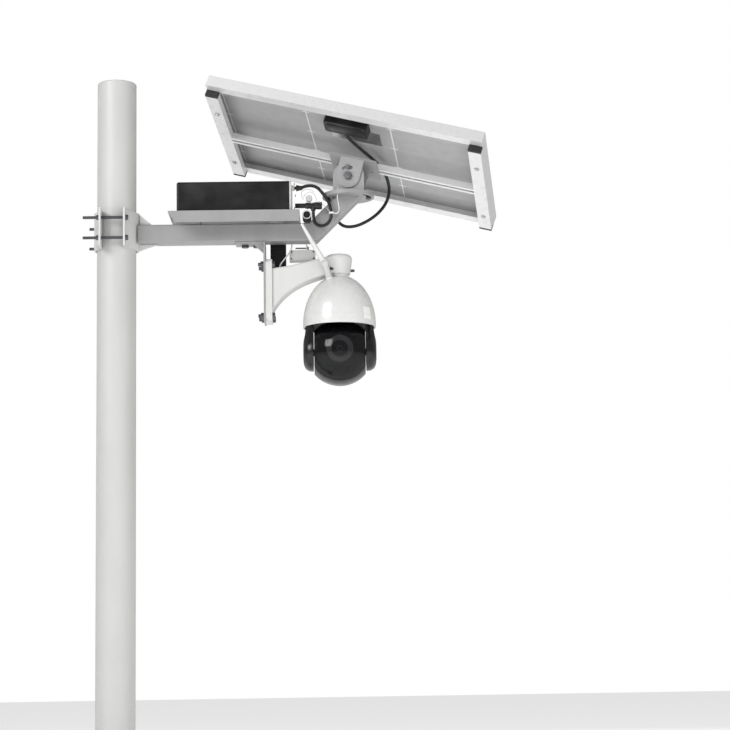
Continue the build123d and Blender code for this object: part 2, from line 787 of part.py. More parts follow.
# ---------------------------------------------------------------- dome housing and what it holds
shell = 3
floor_z = dome_centre_z + 22
floor_thick = 3
hub_r = 14
neck_top = socket_top - 1
bell_steps = 10


def bell_height(radius, wall=0):
    """Height of the bell's ellipse at a radius."""
    return dome_centre_z + (dome_rise - wall) * sqrt(1 - (radius / (dome_r - wall)) ** 2)


def bell_curve(low, high, wall=0):
    """Draws the bell's ellipse between two heights, going up."""
    rise = dome_rise - wall
    start = asin((low - dome_centre_z) / rise)
    step = (asin((high - dome_centre_z) / rise) - start) / bell_steps
    angles = [start + step * i for i in range(bell_steps + 1)]
    return Spline(*[(dome_x + (dome_r - wall) * cos(a), dome_centre_z + rise * sin(a)) for a in angles])


neck_wall = 4
bore_r = neck_r - neck_wall
floor_top = floor_z + floor_thick
hub_bore_x = dome_x + hub_r + fit
bell_x = dome_x + dome_r
with BuildPart() as housing:
    with BuildSketch(Plane.XZ):
        with BuildLine():
            outside = bell_curve(dome_centre_z, bell_height(neck_r))
            upper_inside = bell_curve(floor_top, bell_height(bore_r, shell), shell)
            lower_inside = bell_curve(dome_centre_z, floor_z, shell)
            Polyline(outside @ 1, (dome_x + neck_r, neck_top), (dome_x + bore_r, neck_top), upper_inside @ 1)
            Polyline(upper_inside @ 0, (hub_bore_x, floor_top), (hub_bore_x, floor_z), lower_inside @ 1)
            Polyline(lower_inside @ 0, (bell_x - shell, rim_z), (bell_x, rim_z), outside @ 0)
        make_face()
    revolve(axis=Axis((dome_x, 0, 0), (0, 0, 1)))
    with BuildSketch(antenna_plane.offset(boss_height)):
        Circle(antenna_d / 2 + 1)
    extrude(amount=-boss_height - shell * 0.6)
save(housing, "housing")

pan_teeth, pinion_teeth, pan_module = 48, 12, 1.5
pan_pitch_r = pan_teeth * pan_module / 2
pan_pinion_r = pinion_teeth * pan_module / 2
pan_centres = pan_pitch_r + pan_pinion_r
gear_z = floor_z + floor_thick + 2
gear_thick = 6
motor_shaft_r = 2.5
pan_motor_r = 14
pan_motor_height = 20
motor_z = gear_z + gear_thick + 3

with BuildPart() as pan_gear:
    with BuildSketch(Plane.XY.offset(gear_z)):
        with Locations(dome_axis):
            Polygon(*gear_outline(pan_teeth, pan_module, pi / 2), align=None)
            Circle(hub_r, mode=Mode.SUBTRACT)
            with PolarLocations(24, 4, start_angle=45):
                Circle(5, mode=Mode.SUBTRACT)
    extrude(amount=gear_thick)
save(pan_gear, "pan_gear")

with BuildPart() as pan_pinion:
    with BuildSketch(Plane.XY.offset(gear_z)):
        with Locations((dome_x, pan_centres)):
            Polygon(*gear_outline(pinion_teeth, pan_module, -pi / 2 + pi / pinion_teeth), align=None)
    extrude(amount=gear_thick)
    with BuildSketch(Plane.XY.offset(gear_z + gear_thick)):
        with Locations((dome_x, pan_centres)):
            Circle(motor_shaft_r)
    extrude(amount=6)
save(pan_pinion, "pan_pinion")

with BuildPart() as pan_motor:
    with BuildSketch(Plane.XY.offset(motor_z)):
        with Locations((dome_x, pan_centres)):
            Circle(pan_motor_r)
    extrude(amount=pan_motor_height)
    with BuildSketch(Plane.XY.offset(motor_z)):
        with Locations((dome_x, pan_centres)):
            Rectangle(46, 12)
    extrude(amount=2)
    with BuildSketch(Plane.XY.offset(floor_z + floor_thick)):
        with Locations((dome_x - 20, pan_centres), (dome_x + 20, pan_centres)):
            Circle(2.5)
    extrude(amount=motor_z - floor_z - floor_thick)
    with BuildSketch(Plane.XY.offset(motor_z)):
        with Locations((dome_x, pan_centres)):
            Circle(motor_shaft_r + fit)
    extrude(amount=4, mode=Mode.SUBTRACT)
save(pan_motor, "pan_motor")

board_z = floor_z + 41
board_r = 50
post_r = 45
with BuildPart() as main_board:
    with BuildSketch(Plane.XY.offset(board_z)):
        with Locations(dome_axis):
            Circle(board_r)
    extrude(amount=1.6)
    with BuildSketch(Plane.XY.offset(floor_z + floor_thick)):
        with Locations(dome_axis):
            with PolarLocations(post_r, 3, start_angle=150, angular_range=240):
                Circle(3)
    extrude(amount=board_z - floor_z - floor_thick)
    with BuildSketch(Plane.XY.offset(board_z)):
        with Locations((dome_x - 18, -14), (dome_x + 16, -16), (dome_x - 8, 16)):
            Rectangle(16, 16)
    extrude(amount=-5)
save(main_board, "main_board")

hub_top = gear_z + gear_thick + 1
with BuildPart() as slip_ring:
    with BuildSketch(Plane.XY.offset(hub_top + 1)):
        with Locations(dome_axis):
            Circle(8)
    extrude(amount=board_z - hub_top - 1)
save(slip_ring, "slip_ring")

# ---------------------------------------------------------------- pan yoke, turned by the pan motor
yoke_disc_r = 72
yoke_disc_top = floor_z - 2
yoke_disc_thick = 6
yoke_disc_z = yoke_disc_top - yoke_disc_thick
arm_inner = head_width / 2 + 1.5
arm_thick = 12
arm_outer = arm_inner + arm_thick
arm_half = 34
shaft_r = 8
tilt_teeth, tilt_module = 48, 1
tilt_pinion_teeth = 12
tilt_centres = (tilt_teeth + tilt_pinion_teeth) * tilt_module / 2
tilt_motor_angle = radians(45)
motor_y, motor_up = tilt_centres * sin(tilt_motor_angle), tilt_centres * cos(tilt_motor_angle)
tilt_motor_r = 9
tilt_motor_depth = 10
head_plane = Plane(origin=(dome_x, 0, tilt_z), x_dir=(0, 1, 0), z_dir=(1, 0, 0))

with BuildPart() as pan_yoke:
    with BuildSketch(Plane.XY.offset(yoke_disc_z)):
        with Locations(dome_axis):
            Circle(yoke_disc_r)
            Circle(hub_r - 4, mode=Mode.SUBTRACT)
    extrude(amount=yoke_disc_thick)
    with BuildSketch(Plane.XY.offset(yoke_disc_top)):
        with Locations(dome_axis):
            Circle(hub_r)
            Circle(hub_r - 4, mode=Mode.SUBTRACT)
    extrude(amount=hub_top - yoke_disc_top)
    for side in (-1, 1):
        with BuildSketch(head_plane.offset(side * arm_inner)):
            Circle(30)
            with Locations((0, yoke_disc_z - tilt_z)):
                Rectangle(2 * arm_half, 20, align=(Align.CENTER, Align.MAX))
            make_hull()
            Circle(shaft_r + fit, mode=Mode.SUBTRACT)
        extrude(amount=side * arm_thick)
    with BuildSketch(Plane.XY.offset(rim_z - 4)):
        with Locations(dome_axis):
            Circle(2 * yoke_disc_r)
            Circle(yoke_disc_r, mode=Mode.SUBTRACT)
    extrude(amount=hub_top - rim_z, mode=Mode.SUBTRACT)
    with BuildSketch(head_plane.offset(-arm_outer)):
        with Locations((motor_y, motor_up)):
            Circle(tilt_motor_r + fit)
    extrude(amount=tilt_motor_depth, mode=Mode.SUBTRACT)
save(pan_yoke, "pan_yoke")

cover_rise = 10
cover_wall = 2
cover_r = 31
cover_nose_r = 11
cover_taper = 12
with BuildPart() as yoke_covers:
    for side in (-1, 1):
        for wall, mode in ((0, Mode.ADD), (cover_wall, Mode.SUBTRACT)):
            with BuildSketch(head_plane.offset(side * arm_outer)):
                Circle(cover_r - wall)
                with Locations((motor_y, motor_up)):
                    Circle(cover_nose_r - wall)
                make_hull()
            extrude(amount=side * (cover_rise - wall), taper=cover_taper if wall == 0 else 0, mode=mode)
save(yoke_covers, "yoke_covers")

with BuildPart() as tilt_motor:
    with BuildSketch(head_plane.offset(-arm_outer)):
        with Locations((motor_y, motor_up)):
            Circle(tilt_motor_r)
    extrude(amount=tilt_motor_depth)
    with BuildSketch(head_plane.offset(-arm_outer)):
        with Locations((motor_y, motor_up)):
            Circle(2 + fit)
    extrude(amount=5, mode=Mode.SUBTRACT)
save(tilt_motor, "tilt_motor")

tilt_gear_start = arm_outer + 1
tilt_gear_thick = 4
with BuildPart() as tilt_pinion:
    with BuildSketch(head_plane.offset(-tilt_gear_start)):
        with Locations((motor_y, motor_up)):
            Polygon(*gear_outline(tilt_pinion_teeth, tilt_module, -3 * pi / 4 + pi / tilt_pinion_teeth), align=None)
    extrude(amount=-tilt_gear_thick)
    with BuildSketch(head_plane.offset(-tilt_gear_start)):
        with Locations((motor_y, motor_up)):
            Circle(2)
    extrude(amount=5)
save(tilt_pinion, "tilt_pinion")

# ---------------------------------------------------------------- camera head, turned by the tilt motor
head_centre = (dome_x, 0, tilt_z)
head_half = head_width / 2
head_wall = 3
seam_y = 30
keyed_r = 5

with BuildPart() as tilt_gear:
    with BuildSketch(head_plane.offset(-tilt_gear_start)):
        Polygon(*gear_outline(tilt_teeth, tilt_module, pi / 4), align=None)
        Circle(keyed_r, mode=Mode.SUBTRACT)
    extrude(amount=-tilt_gear_thick)
save(tilt_gear, "tilt_gear")


def truncated_ball(radius, half_width):
    with BuildPart() as ball:
        with BuildSketch(head_plane.offset(-half_width)):
            Circle(2 * radius)
        extrude(amount=2 * half_width)
        with Locations(head_centre):
            Sphere(radius, mode=Mode.INTERSECT)
    return ball


with BuildPart() as hollow_ball:
    add(truncated_ball(head_r, head_half).part)
    add(truncated_ball(head_r - head_wall, head_half - head_wall).part, mode=Mode.SUBTRACT)

with BuildPart() as head_shell:
    add(hollow_ball.part)
    split(bisect_by=Plane.XZ.offset(seam_y), keep=Keep.BOTTOM)
    for side in (-1, 1):
        with BuildSketch(head_plane.offset(side * head_half)):
            Circle(shaft_r)
        extrude(amount=side * (arm_outer - head_half))
    with BuildSketch(head_plane.offset(-arm_outer)):
        Circle(keyed_r)
    extrude(amount=-(tilt_gear_start + tilt_gear_thick - arm_outer))
save(head_shell, "head_shell")

with BuildPart() as head_window:
    add(hollow_ball.part)
    split(bisect_by=Plane.XZ.offset(seam_y), keep=Keep.TOP)
save(head_window, "head_window")

lens_r = 26
lens_front = 58
lens_back = 4
with BuildPart() as lens_barrel:
    with BuildSketch(Plane.XZ.offset(lens_back)):
        with Locations((dome_x, tilt_z)):
            Circle(lens_r - 4)
    extrude(amount=lens_front - lens_back - 12)
    with BuildSketch(Plane.XZ.offset(lens_front - 12)):
        with Locations((dome_x, tilt_z)):
            Circle(lens_r)
    extrude(amount=12)
    with BuildSketch(Plane.XZ.offset(lens_front)):
        with Locations((dome_x, tilt_z)):
            Circle(lens_r - 6)
    extrude(amount=-8, mode=Mode.SUBTRACT)
save(lens_barrel, "lens_barrel")

with BuildPart() as lens_glass:
    with BuildSketch(Plane.XZ.offset(lens_front - 8)):
        with Locations((dome_x, tilt_z)):
            Circle(lens_r - 6)
    extrude(amount=5)
    fillet(lens_glass.edges().group_by(Axis.Y)[0], 3)
save(lens_glass, "lens_glass")

with BuildPart() as sensor_board:
    with BuildSketch(Plane.XZ.offset(lens_back - 1.6)):
        with Locations((dome_x, tilt_z)):
            Rectangle(2 * (head_half - head_wall), 60)
    extrude(amount=1.6)
save(sensor_board, "sensor_board")

# ---------------------------------------------------------------- antenna on the housing's shoulder
with BuildPart() as antenna_base:
    with BuildSketch(antenna_plane.offset(boss_height + gap)):
        Circle(antenna_d / 2)
    extrude(amount=antenna_base_length - boss_height - gap)
    with BuildSketch(pin_plane.offset(-antenna_d / 2)):
        Circle(knuckle_r)
    extrude(amount=antenna_d)
    with BuildSketch(pin_plane.offset(-tongue / 2 - gap)):
        Circle(knuckle_r + 1.5)
    extrude(amount=tongue + 2 * gap, mode=Mode.SUBTRACT)
    with BuildSketch(pin_plane.offset(-antenna_d)):
        Circle(1.5 + fit)
    extrude(amount=2 * antenna_d, mode=Mode.SUBTRACT)
save(antenna_base, "antenna_base")

with BuildPart() as antenna_whip:
    with BuildSketch(whip_plane.offset(knuckle_r + 1.5)) as root:
        Circle(antenna_d / 2 - 0.5)
    with BuildSketch(whip_plane.offset(whip_length)) as tip:
        Circle(whip_tip_d / 2)
    loft()
    fillet(antenna_whip.faces().sort_by(Axis.Z)[-1].edges(), whip_tip_d / 2 - 0.2)
    with BuildSketch(pin_plane.offset(-tongue / 2)):
        Circle(knuckle_r)
        with Locations(((knuckle_r + 3) / 2, 0)):
            Rectangle(knuckle_r + 3, 2 * knuckle_r - 2)
    extrude(amount=tongue)
    with BuildSketch(pin_plane.offset(-antenna_d / 2)):
        Circle(1.5)
    extrude(amount=antenna_d)
save(antenna_whip, "antenna_whip")

# ---------------------------------------------------------------- boxes behind the beam
converter_x = 347
converter_size = (34, 24, 110)
converter_top = beam_z + 12
converter_stand = 11     # packer between the beam and the box, so that the box clears the wall plate
with BuildPart() as converter_box:
    with BuildSketch(Plane.XY.offset(converter_top)):
        with Locations((converter_x, beam_half + converter_stand + converter_size[1] / 2)):
            RectangleRounded(converter_size[0], converter_size[1], 3)
    extrude(amount=-converter_size[2])
    with BuildSketch(Plane.XZ.offset(-beam_half)):
        with Locations((converter_x, beam_z)):
            Rectangle(20, 20)
    extrude(amount=-converter_stand)
save(converter_box, "converter_box")

with BuildPart() as terminal_box:
    with BuildSketch(Plane.XY.offset(terminal_top)):
        with Locations((terminal_x, beam_half + 2)):
            RectangleRounded(terminal_size[0], terminal_size[1], 3)
    extrude(amount=-terminal_size[2])
    with BuildSketch(Plane.YZ.offset(hanger_x)):
        with Locations((beam_half - 4, terminal_top - 2)):
            Rectangle(14, beam_under - terminal_top + 2, align=(Align.CENTER, Align.MIN))
        with Locations(hanger_screw):
            Circle(1.5 + fit, mode=Mode.SUBTRACT)
    extrude(amount=hanger)
save(terminal_box, "terminal_box")

# ---------------------------------------------------------------- leads and connectors
plug_x = 386
plug_z = beam_z + 54
drop_x = 425
drop_d = 10
lead_rise = lead_exit_z - beam_z
battery_route = [
    (battery_end_x + gland_length, lead_y, lead_rise), (398, lead_y, lead_rise), (415, lead_y, 99),
    (433, lead_y, 96), (446, lead_y, 81), (457, lead_y, 65), (463, lead_y, 47), (464, lead_y, 28),
    (456, lead_y, 13), (441, lead_y, 8), (428, lead_y, 15), (drop_x, lead_y, 29), (drop_x, lead_y, 43),
]
cord("battery_lead", battery_route, lead_d)

with BuildPart() as lead_plug:
    for start, length, radius in ((0, 22, 5), (22, 20, 6.5), (42, 16, 8)):
        with BuildSketch(Plane.YZ.offset(plug_x + start)):
            with Locations((lead_y, plug_z)):
                Circle(radius)
        extrude(amount=length)
    with BuildSketch(Plane.XY.offset(plug_z)):
        with Locations((drop_x, lead_y)):
            Circle(drop_d / 2)
    extrude(amount=beam_z + battery_route[-1][2] - plug_z)
save(lead_plug, "lead_plug")

coupler_x = 411
coupler_z = beam_z + 34
coupler_r = 9.5
coupler_front = lead_y - 2
with BuildPart() as network_coupler:
    with BuildSketch(Plane.XZ.offset(-coupler_front)):
        with Locations((coupler_x, coupler_z)):
            Circle(coupler_r)
    extrude(amount=-46)
    with BuildSketch(Plane.XZ.offset(-coupler_front)):
        with Locations((coupler_x, coupler_z)):
            Circle(coupler_r - 2.2)
        with Locations((coupler_x - 1.5, coupler_z)):
            Rectangle(7, 9, mode=Mode.SUBTRACT)
    extrude(amount=-12, mode=Mode.SUBTRACT)
save(network_coupler, "network_coupler")

with BuildPart() as coupler_cap:
    with BuildSketch(Plane.XZ.offset(-coupler_front)):
        with Locations((coupler_x + 5, coupler_z + 36)):
            Circle(7)
    extrude(amount=-8)
save(coupler_cap, "coupler_cap")

arm_side = beam_half
lead_foot_x = 474
lead_foot_rise = 40
tie_point = (463.5, lead_y, beam_z + 37.5)
with BuildPart() as cable_ties:
    with BuildSketch(Plane(origin=tie_point, z_dir=(1, 0, -19))):
        Circle(lead_d / 2 + 1.6)
        Circle(lead_d / 2 + fit, mode=Mode.SUBTRACT)
    extrude(amount=2, both=True)
    with BuildSketch(Plane.XZ.offset(arm_side)):
        with Locations((tie_point[0], tie_point[2])):
            Rectangle(7, 7)
    extrude(amount=-lead_y - arm_side - lead_d / 2 - 0.2)
    with BuildSketch(Plane.XZ.offset(-arm_side)):
        with Locations((lead_foot_x, beam_z + lead_foot_rise)):
            Circle(gland_r)
    extrude(amount=-gland_length)
save(cable_ties, "cable_ties")

wire_d = 3
wire_route = [(348, 0, -85), (350, 0, -71), (359, 1, -58), (369, 3, -46), (377, 5, -33), (378, 5, -20.1)]
cord("camera_wires", wire_route, wire_d)

panel_route = [
    (495.65, -81.1, 203.95), (498.1, -63.2, 198.7), (514.3, -43.3, 187.8), (534.3, -23.4, 175.6),
    (555.7, -1.6, 162.9), (573.7, 23.8, 150.5), (587, 47, 134), (593, 58, 108), (586, 55, 80),
    (568, 49, 55), (543, 46, 36), (515, 46, 24), (489, 45, 24), (lead_foot_x, 41, lead_foot_rise),
    (lead_foot_x, arm_side + gland_length + gap, lead_foot_rise),
]
cord("panel_lead", panel_route, lead_d)
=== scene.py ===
# Pole camera with solar panel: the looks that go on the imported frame
import bmesh
import bpy
import json
import math
from mathutils import Matrix, Vector


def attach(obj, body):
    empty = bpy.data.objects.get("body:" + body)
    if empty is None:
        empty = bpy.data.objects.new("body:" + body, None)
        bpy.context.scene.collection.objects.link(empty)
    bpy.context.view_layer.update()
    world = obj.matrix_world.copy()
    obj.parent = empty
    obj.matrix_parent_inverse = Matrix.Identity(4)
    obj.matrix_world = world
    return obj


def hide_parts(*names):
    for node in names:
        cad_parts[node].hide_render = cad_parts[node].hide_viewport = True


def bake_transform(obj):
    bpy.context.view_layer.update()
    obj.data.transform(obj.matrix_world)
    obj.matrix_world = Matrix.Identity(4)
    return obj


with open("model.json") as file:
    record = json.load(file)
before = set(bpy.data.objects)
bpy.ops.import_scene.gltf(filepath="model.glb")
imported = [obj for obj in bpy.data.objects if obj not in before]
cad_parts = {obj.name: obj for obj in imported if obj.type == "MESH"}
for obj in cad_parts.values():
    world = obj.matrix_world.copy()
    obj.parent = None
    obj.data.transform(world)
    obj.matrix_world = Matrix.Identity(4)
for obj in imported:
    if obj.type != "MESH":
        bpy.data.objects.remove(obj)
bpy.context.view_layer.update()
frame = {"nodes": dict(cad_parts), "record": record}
print("frame loaded")

mm = 0.001
shot = {
    "eye": (0.46695, -4.23416, 0.27466),
    "yaw": 0.872,
    "pitch": 8.548,
    "roll": -0.901,
    "lens": 98.63,
}


def placeCamera():
    yaw, pitch, roll = (math.radians(shot[key]) for key in ("yaw", "pitch", "roll"))
    ahead = Vector((math.sin(yaw) * math.cos(pitch), math.cos(yaw) * math.cos(pitch), math.sin(pitch)))
    levelRight = Vector((math.cos(yaw), -math.sin(yaw), 0))
    levelUp = levelRight.cross(ahead)
    right = levelRight * math.cos(roll) + levelUp * math.sin(roll)
    up = levelUp * math.cos(roll) - levelRight * math.sin(roll)
    data = bpy.data.cameras.new("shot")
    data.lens = shot["lens"]
    data.sensor_width = 36
    data.clip_end = 60
    eye = bpy.data.objects.new("shot", data)
    turned = Matrix((right, up, -ahead)).transposed().to_4x4()
    eye.matrix_world = Matrix.Translation(shot["eye"]) @ turned
    bpy.context.scene.collection.objects.link(eye)
    bpy.context.scene.camera = eye


placeCamera()


# ---- shader maths on sockets
class Wire:
    def __init__(self, net, socket):
        self.net = net
        self.socket = socket

    def maths(self, kind, first, second):
        return self.net.add("ShaderNodeMath", {"operation": kind}, {0: first, 1: second})

    def __add__(self, other):
        return self.maths("ADD", self, other)

    def __radd__(self, other):
        return self.maths("ADD", other, self)

    def __mul__(self, other):
        return self.maths("MULTIPLY", self, other)

    def __rmul__(self, other):
        return self.maths("MULTIPLY", other, self)

    def __lt__(self, other):
        return self.maths("LESS_THAN", self, other)


class Net:
    # one material, its tree, and the few things every finish here needs
    def __init__(self, name, **look):
        self.material = bpy.data.materials.new(name)
        self.material.use_nodes = True
        self.tree = self.material.node_tree
        self.shader = self.tree.nodes["Principled BSDF"]
        for socket, value in look.items():
            self.shader.inputs[socket.replace("_", " ")].default_value = value

    def add(self, kind, settings=None, values=None, out=0):
        node = self.tree.nodes.new(kind)
        for key, value in (settings or {}).items():
            if key == "stops":
                for stop, (place, shade) in zip(node.color_ramp.elements, value):
                    stop.position = place
                    stop.color = (shade, shade, shade, 1)
            else:
                setattr(node, key, value)
        for key, value in (values or {}).items():
            if isinstance(value, Wire):
                self.tree.links.new(value.socket, node.inputs[key])
            else:
                node.inputs[key].default_value = value
        return Wire(self, node.outputs[out])

    def place(self, location=(0, 0, 0), rotation=(0, 0, 0), scale=(1, 1, 1), kind="POINT"):
        spot = self.add("ShaderNodeTexCoord", out="Object")
        return self.add("ShaderNodeMapping", {"vector_type": kind},
                        {"Vector": spot, "Location": location, "Rotation": rotation, "Scale": scale})

    def noise(self, scale, detail=2, stretch=(1, 1, 1), rough=0.5):
        spot = self.place(scale=stretch)
        return self.add("ShaderNodeTexNoise", None,
                        {"Vector": spot, "Scale": scale, "Detail": detail, "Roughness": rough})

    def ramp(self, wire, low, high, start=0.0, end=1.0):
        return self.add("ShaderNodeValToRGB", {"stops": ((low, start), (high, end))}, {0: wire})

    def blend(self, factor, first, second):
        node = self.tree.nodes.new("ShaderNodeMix")
        node.data_type = "RGBA"
        node.clamp_factor = True
        sockets = (node.inputs["Factor"], node.inputs[6], node.inputs[7])
        for socket, value in zip(sockets, (factor, first, second)):
            if isinstance(value, Wire):
                self.tree.links.new(value.socket, socket)
            elif socket.name == "Factor":
                socket.default_value = value
            else:
                socket.default_value = (*value, 1)
        return Wire(self, node.outputs[2])

    def feed(self, socket, wire):
        self.tree.links.new(wire.socket, self.shader.inputs[socket])

    def bump(self, height, strength, distance):
        normal = self.add("ShaderNodeBump", None,
                          {"Height": height, "Strength": strength, "Distance": distance * mm})
        self.feed("Normal", normal)


def shade(colour, amount):
    return tuple(min(1, part * amount) for part in colour)


# powder coat: orange peel, fine grit, grey runs down the steel and a chalky bloom
def powderCoat(name, colour, rough=0.45, streaks=0.3, peel=0.12):
    net = Net(name, Roughness=rough, Specular_IOR_Level=0.5)
    runs = net.ramp(net.noise(26, 4, (1, 1, 0.12)), 0.42, 0.72)
    bloom = net.ramp(net.noise(9, 3), 0.35, 0.7)
    grit = net.ramp(net.noise(700, 2), 0.66, 0.76)
    base = net.blend(runs * streaks, colour, shade(colour, 0.62))
    chalky = net.blend(bloom * 0.25, base, shade(colour, 1.12))
    net.feed("Base Color", net.blend(grit * 0.35, chalky, shade(colour, 0.5)))
    net.feed("Roughness", net.noise(60, 3) * 0.18 + (rough - 0.09) + bloom * 0.06)
    net.bump(net.noise(420, 2) + net.noise(1500, 1) * 0.3, peel, 0.25)
    return net.material


# moulded plastic: spark-eroded grain, handling sheen and dust
def mouldedPlastic(name, colour, rough=0.5, grain=0.2, dust=0.15):
    net = Net(name, Roughness=rough, Specular_IOR_Level=0.35)
    settled = net.ramp(net.noise(14, 4), 0.45, 0.75)
    sheen = net.ramp(net.noise(38, 2), 0.4, 0.65)
    net.feed("Base Color", net.blend(settled * dust, colour, (0.32, 0.31, 0.3)))
    net.feed("Roughness", sheen * 0.16 + (rough - 0.08) + net.noise(400) * 0.06)
    pits = net.add("ShaderNodeTexVoronoi", None, {"Vector": net.place(), "Scale": 1400})
    net.bump(pits + net.noise(900), grain, 0.12)
    return net.material


# glossy shell: clear top, faint waviness of the moulding, fine dust
def glossShell(name, colour, rough=0.18, coat=0.6, dust=0.08, dustColour=(0.45, 0.44, 0.43)):
    net = Net(name, Roughness=rough, Coat_Weight=coat, Coat_Roughness=0.06)
    film = net.ramp(net.noise(30, 5), 0.45, 0.8)
    specks = net.ramp(net.noise(520, 1), 0.7, 0.76)
    net.feed("Base Color", net.blend(film * dust + specks * dust, colour, dustColour))
    net.feed("Roughness", film * 0.12 + rough + specks * 0.2)
    net.bump(net.noise(18, 1) + net.noise(300, 1) * 0.04, 0.06, 0.4)
    return net.material


# plated or bare metal: turned or rolled streaks, tarnish spots
def platedMetal(name, colour, rough=0.35, stretch=(1, 1, 12), metal=1.0, tarnish=0.35):
    net = Net(name, Metallic=metal, Roughness=rough)
    lines = net.noise(260, 3, stretch)
    spots = net.ramp(net.noise(70, 4), 0.5, 0.75)
    base = net.blend(lines * 0.35, colour, shade(colour, 0.7))
    net.feed("Base Color", net.blend(spots * tarnish, base, shade(colour, 0.45)))
    net.feed("Roughness", lines * 0.15 + spots * 0.22 + (rough - 0.08))
    net.bump(lines + spots * 0.4, 0.12, 0.1)
    return net.material


# cable jacket and caps: matt skin with drawn lines and scuffs
def rubberSkin(name, colour, rough=0.55):
    net = Net(name, Roughness=rough, Specular_IOR_Level=0.4)
    scuffs = net.ramp(net.noise(120, 4), 0.55, 0.78)
    net.feed("Base Color", net.blend(scuffs * 0.3, colour, (0.16, 0.16, 0.16)))
    net.feed("Roughness", scuffs * 0.2 + (rough - 0.05) + net.noise(500) * 0.05)
    net.bump(net.noise(800, 2), 0.15, 0.1)
    return net.material


# clear window: a smoked or clear sheet with smears
def clearSheet(name, colour, alpha, rough=0.04):
    net = Net(name, Roughness=rough, Coat_Weight=0.1, IOR=1.45)
    net.material.surface_render_method = "BLENDED"
    smears = net.ramp(net.noise(22, 5), 0.5, 0.8)
    net.feed("Base Color", net.blend(smears * 0.3, colour, shade(colour, 1.6)))
    net.feed("Roughness", smears * 0.12 + rough)
    net.feed("Alpha", smears * 0.08 + alpha)
    net.bump(net.noise(12, 1), 0.02, 0.2)
    return net.material


panelLook = {
    "turn": -12.5,
    "tilt": 15.8,
    "wedge": -16.7,
    "pivot": (501, 0, 1319),
    "pivotShift": 7,
    "shift": (-10, -16, 45.6),
    "cellPitch": (190, 80),
    "line": 1.5,
    "tick": (9, 1.3),
    "sheet": (0.4, 0.4, 0.4),
    "cell": (0.27, 0.27, 0.275),
    "ribbon": (0.75, 0.75, 0.75),
}


def panelMatrix():
    turn = Matrix.Rotation(math.radians(panelLook["turn"]), 4, "Z")
    tilt = Matrix.Rotation(math.radians(panelLook["tilt"]), 4, "Y")
    wedge = Matrix.Rotation(math.radians(panelLook["wedge"]), 4, "X")
    shift = Matrix.Translation((panelLook["pivotShift"], 0, 0))
    pivot = Matrix.Translation(Vector(panelLook["pivot"])) @ turn @ shift
    return pivot @ tilt @ wedge @ Matrix.Translation(panelLook["shift"])


# back of the laminate: cells show through as squares, with bright lines and solder ticks between
def backSheet():
    net = Net("cellSheet", Roughness=0.42, Coat_Weight=0.15)
    world = panelMatrix()
    origin = world.to_translation() * mm
    spot = net.place(origin, world.to_euler(), (1, 1, 1), "TEXTURE")
    axes = [net.add("ShaderNodeSeparateXYZ", None, {0: spot}, out) for out in (0, 1)]
    across, along = (pitch * mm for pitch in panelLook["cellPitch"])
    offLine = []
    for axis, pitch in zip(axes, (across, along)):
        cell = net.add("ShaderNodeMath", {"operation": "FRACT"}, {0: axis * (1 / pitch) + 100.5})
        offLine.append(net.add("ShaderNodeMath", {"operation": "PINGPONG"}, {0: cell, 1: 0.5}))
    ribbon = offLine[0] < panelLook["line"] * mm / across
    tickLong, tickWide = (size * mm for size in panelLook["tick"])
    crossing = (offLine[0] < tickLong / across) * (offLine[1] < tickWide / along)
    soft = net.ramp(offLine[1], 0.0, 0.12, 1.0, 0.0)
    grain = net.ramp(net.noise(45, 4), 0.3, 0.8)
    weave = net.noise(300, 2, (1, 4, 1))
    cells = net.blend(grain * 0.45 + weave * 0.35, panelLook["cell"], panelLook["sheet"])
    banded = net.blend(soft * 0.25, cells, panelLook["sheet"])
    net.feed("Base Color", net.blend(ribbon * 0.7 + crossing * 0.8, banded, panelLook["ribbon"]))
    net.feed("Roughness", grain * 0.15 + 0.35)
    net.bump(ribbon + crossing + weave * 0.3, 0.2, 0.2)
    return net.material


# etched board: tracks under a dark mask, with slightly paler pads
def circuitBoard():
    net = Net("board", Roughness=0.35)
    tracks = net.add("ShaderNodeTexBrick", None,
                     {"Vector": net.place(), "Scale": 160, "Mortar Size": 0.03}, "Fac")
    pads = net.ramp(net.noise(380, 0), 0.66, 0.7)
    mask = net.blend(tracks, (0.004, 0.014, 0.008), (0.008, 0.026, 0.014))
    net.feed("Base Color", net.blend(pads, mask, (0.02, 0.02, 0.018)))
    net.feed("Roughness", pads * 0.2 + 0.3)
    net.bump(tracks + pads, 0.2, 0.1)
    return net.material


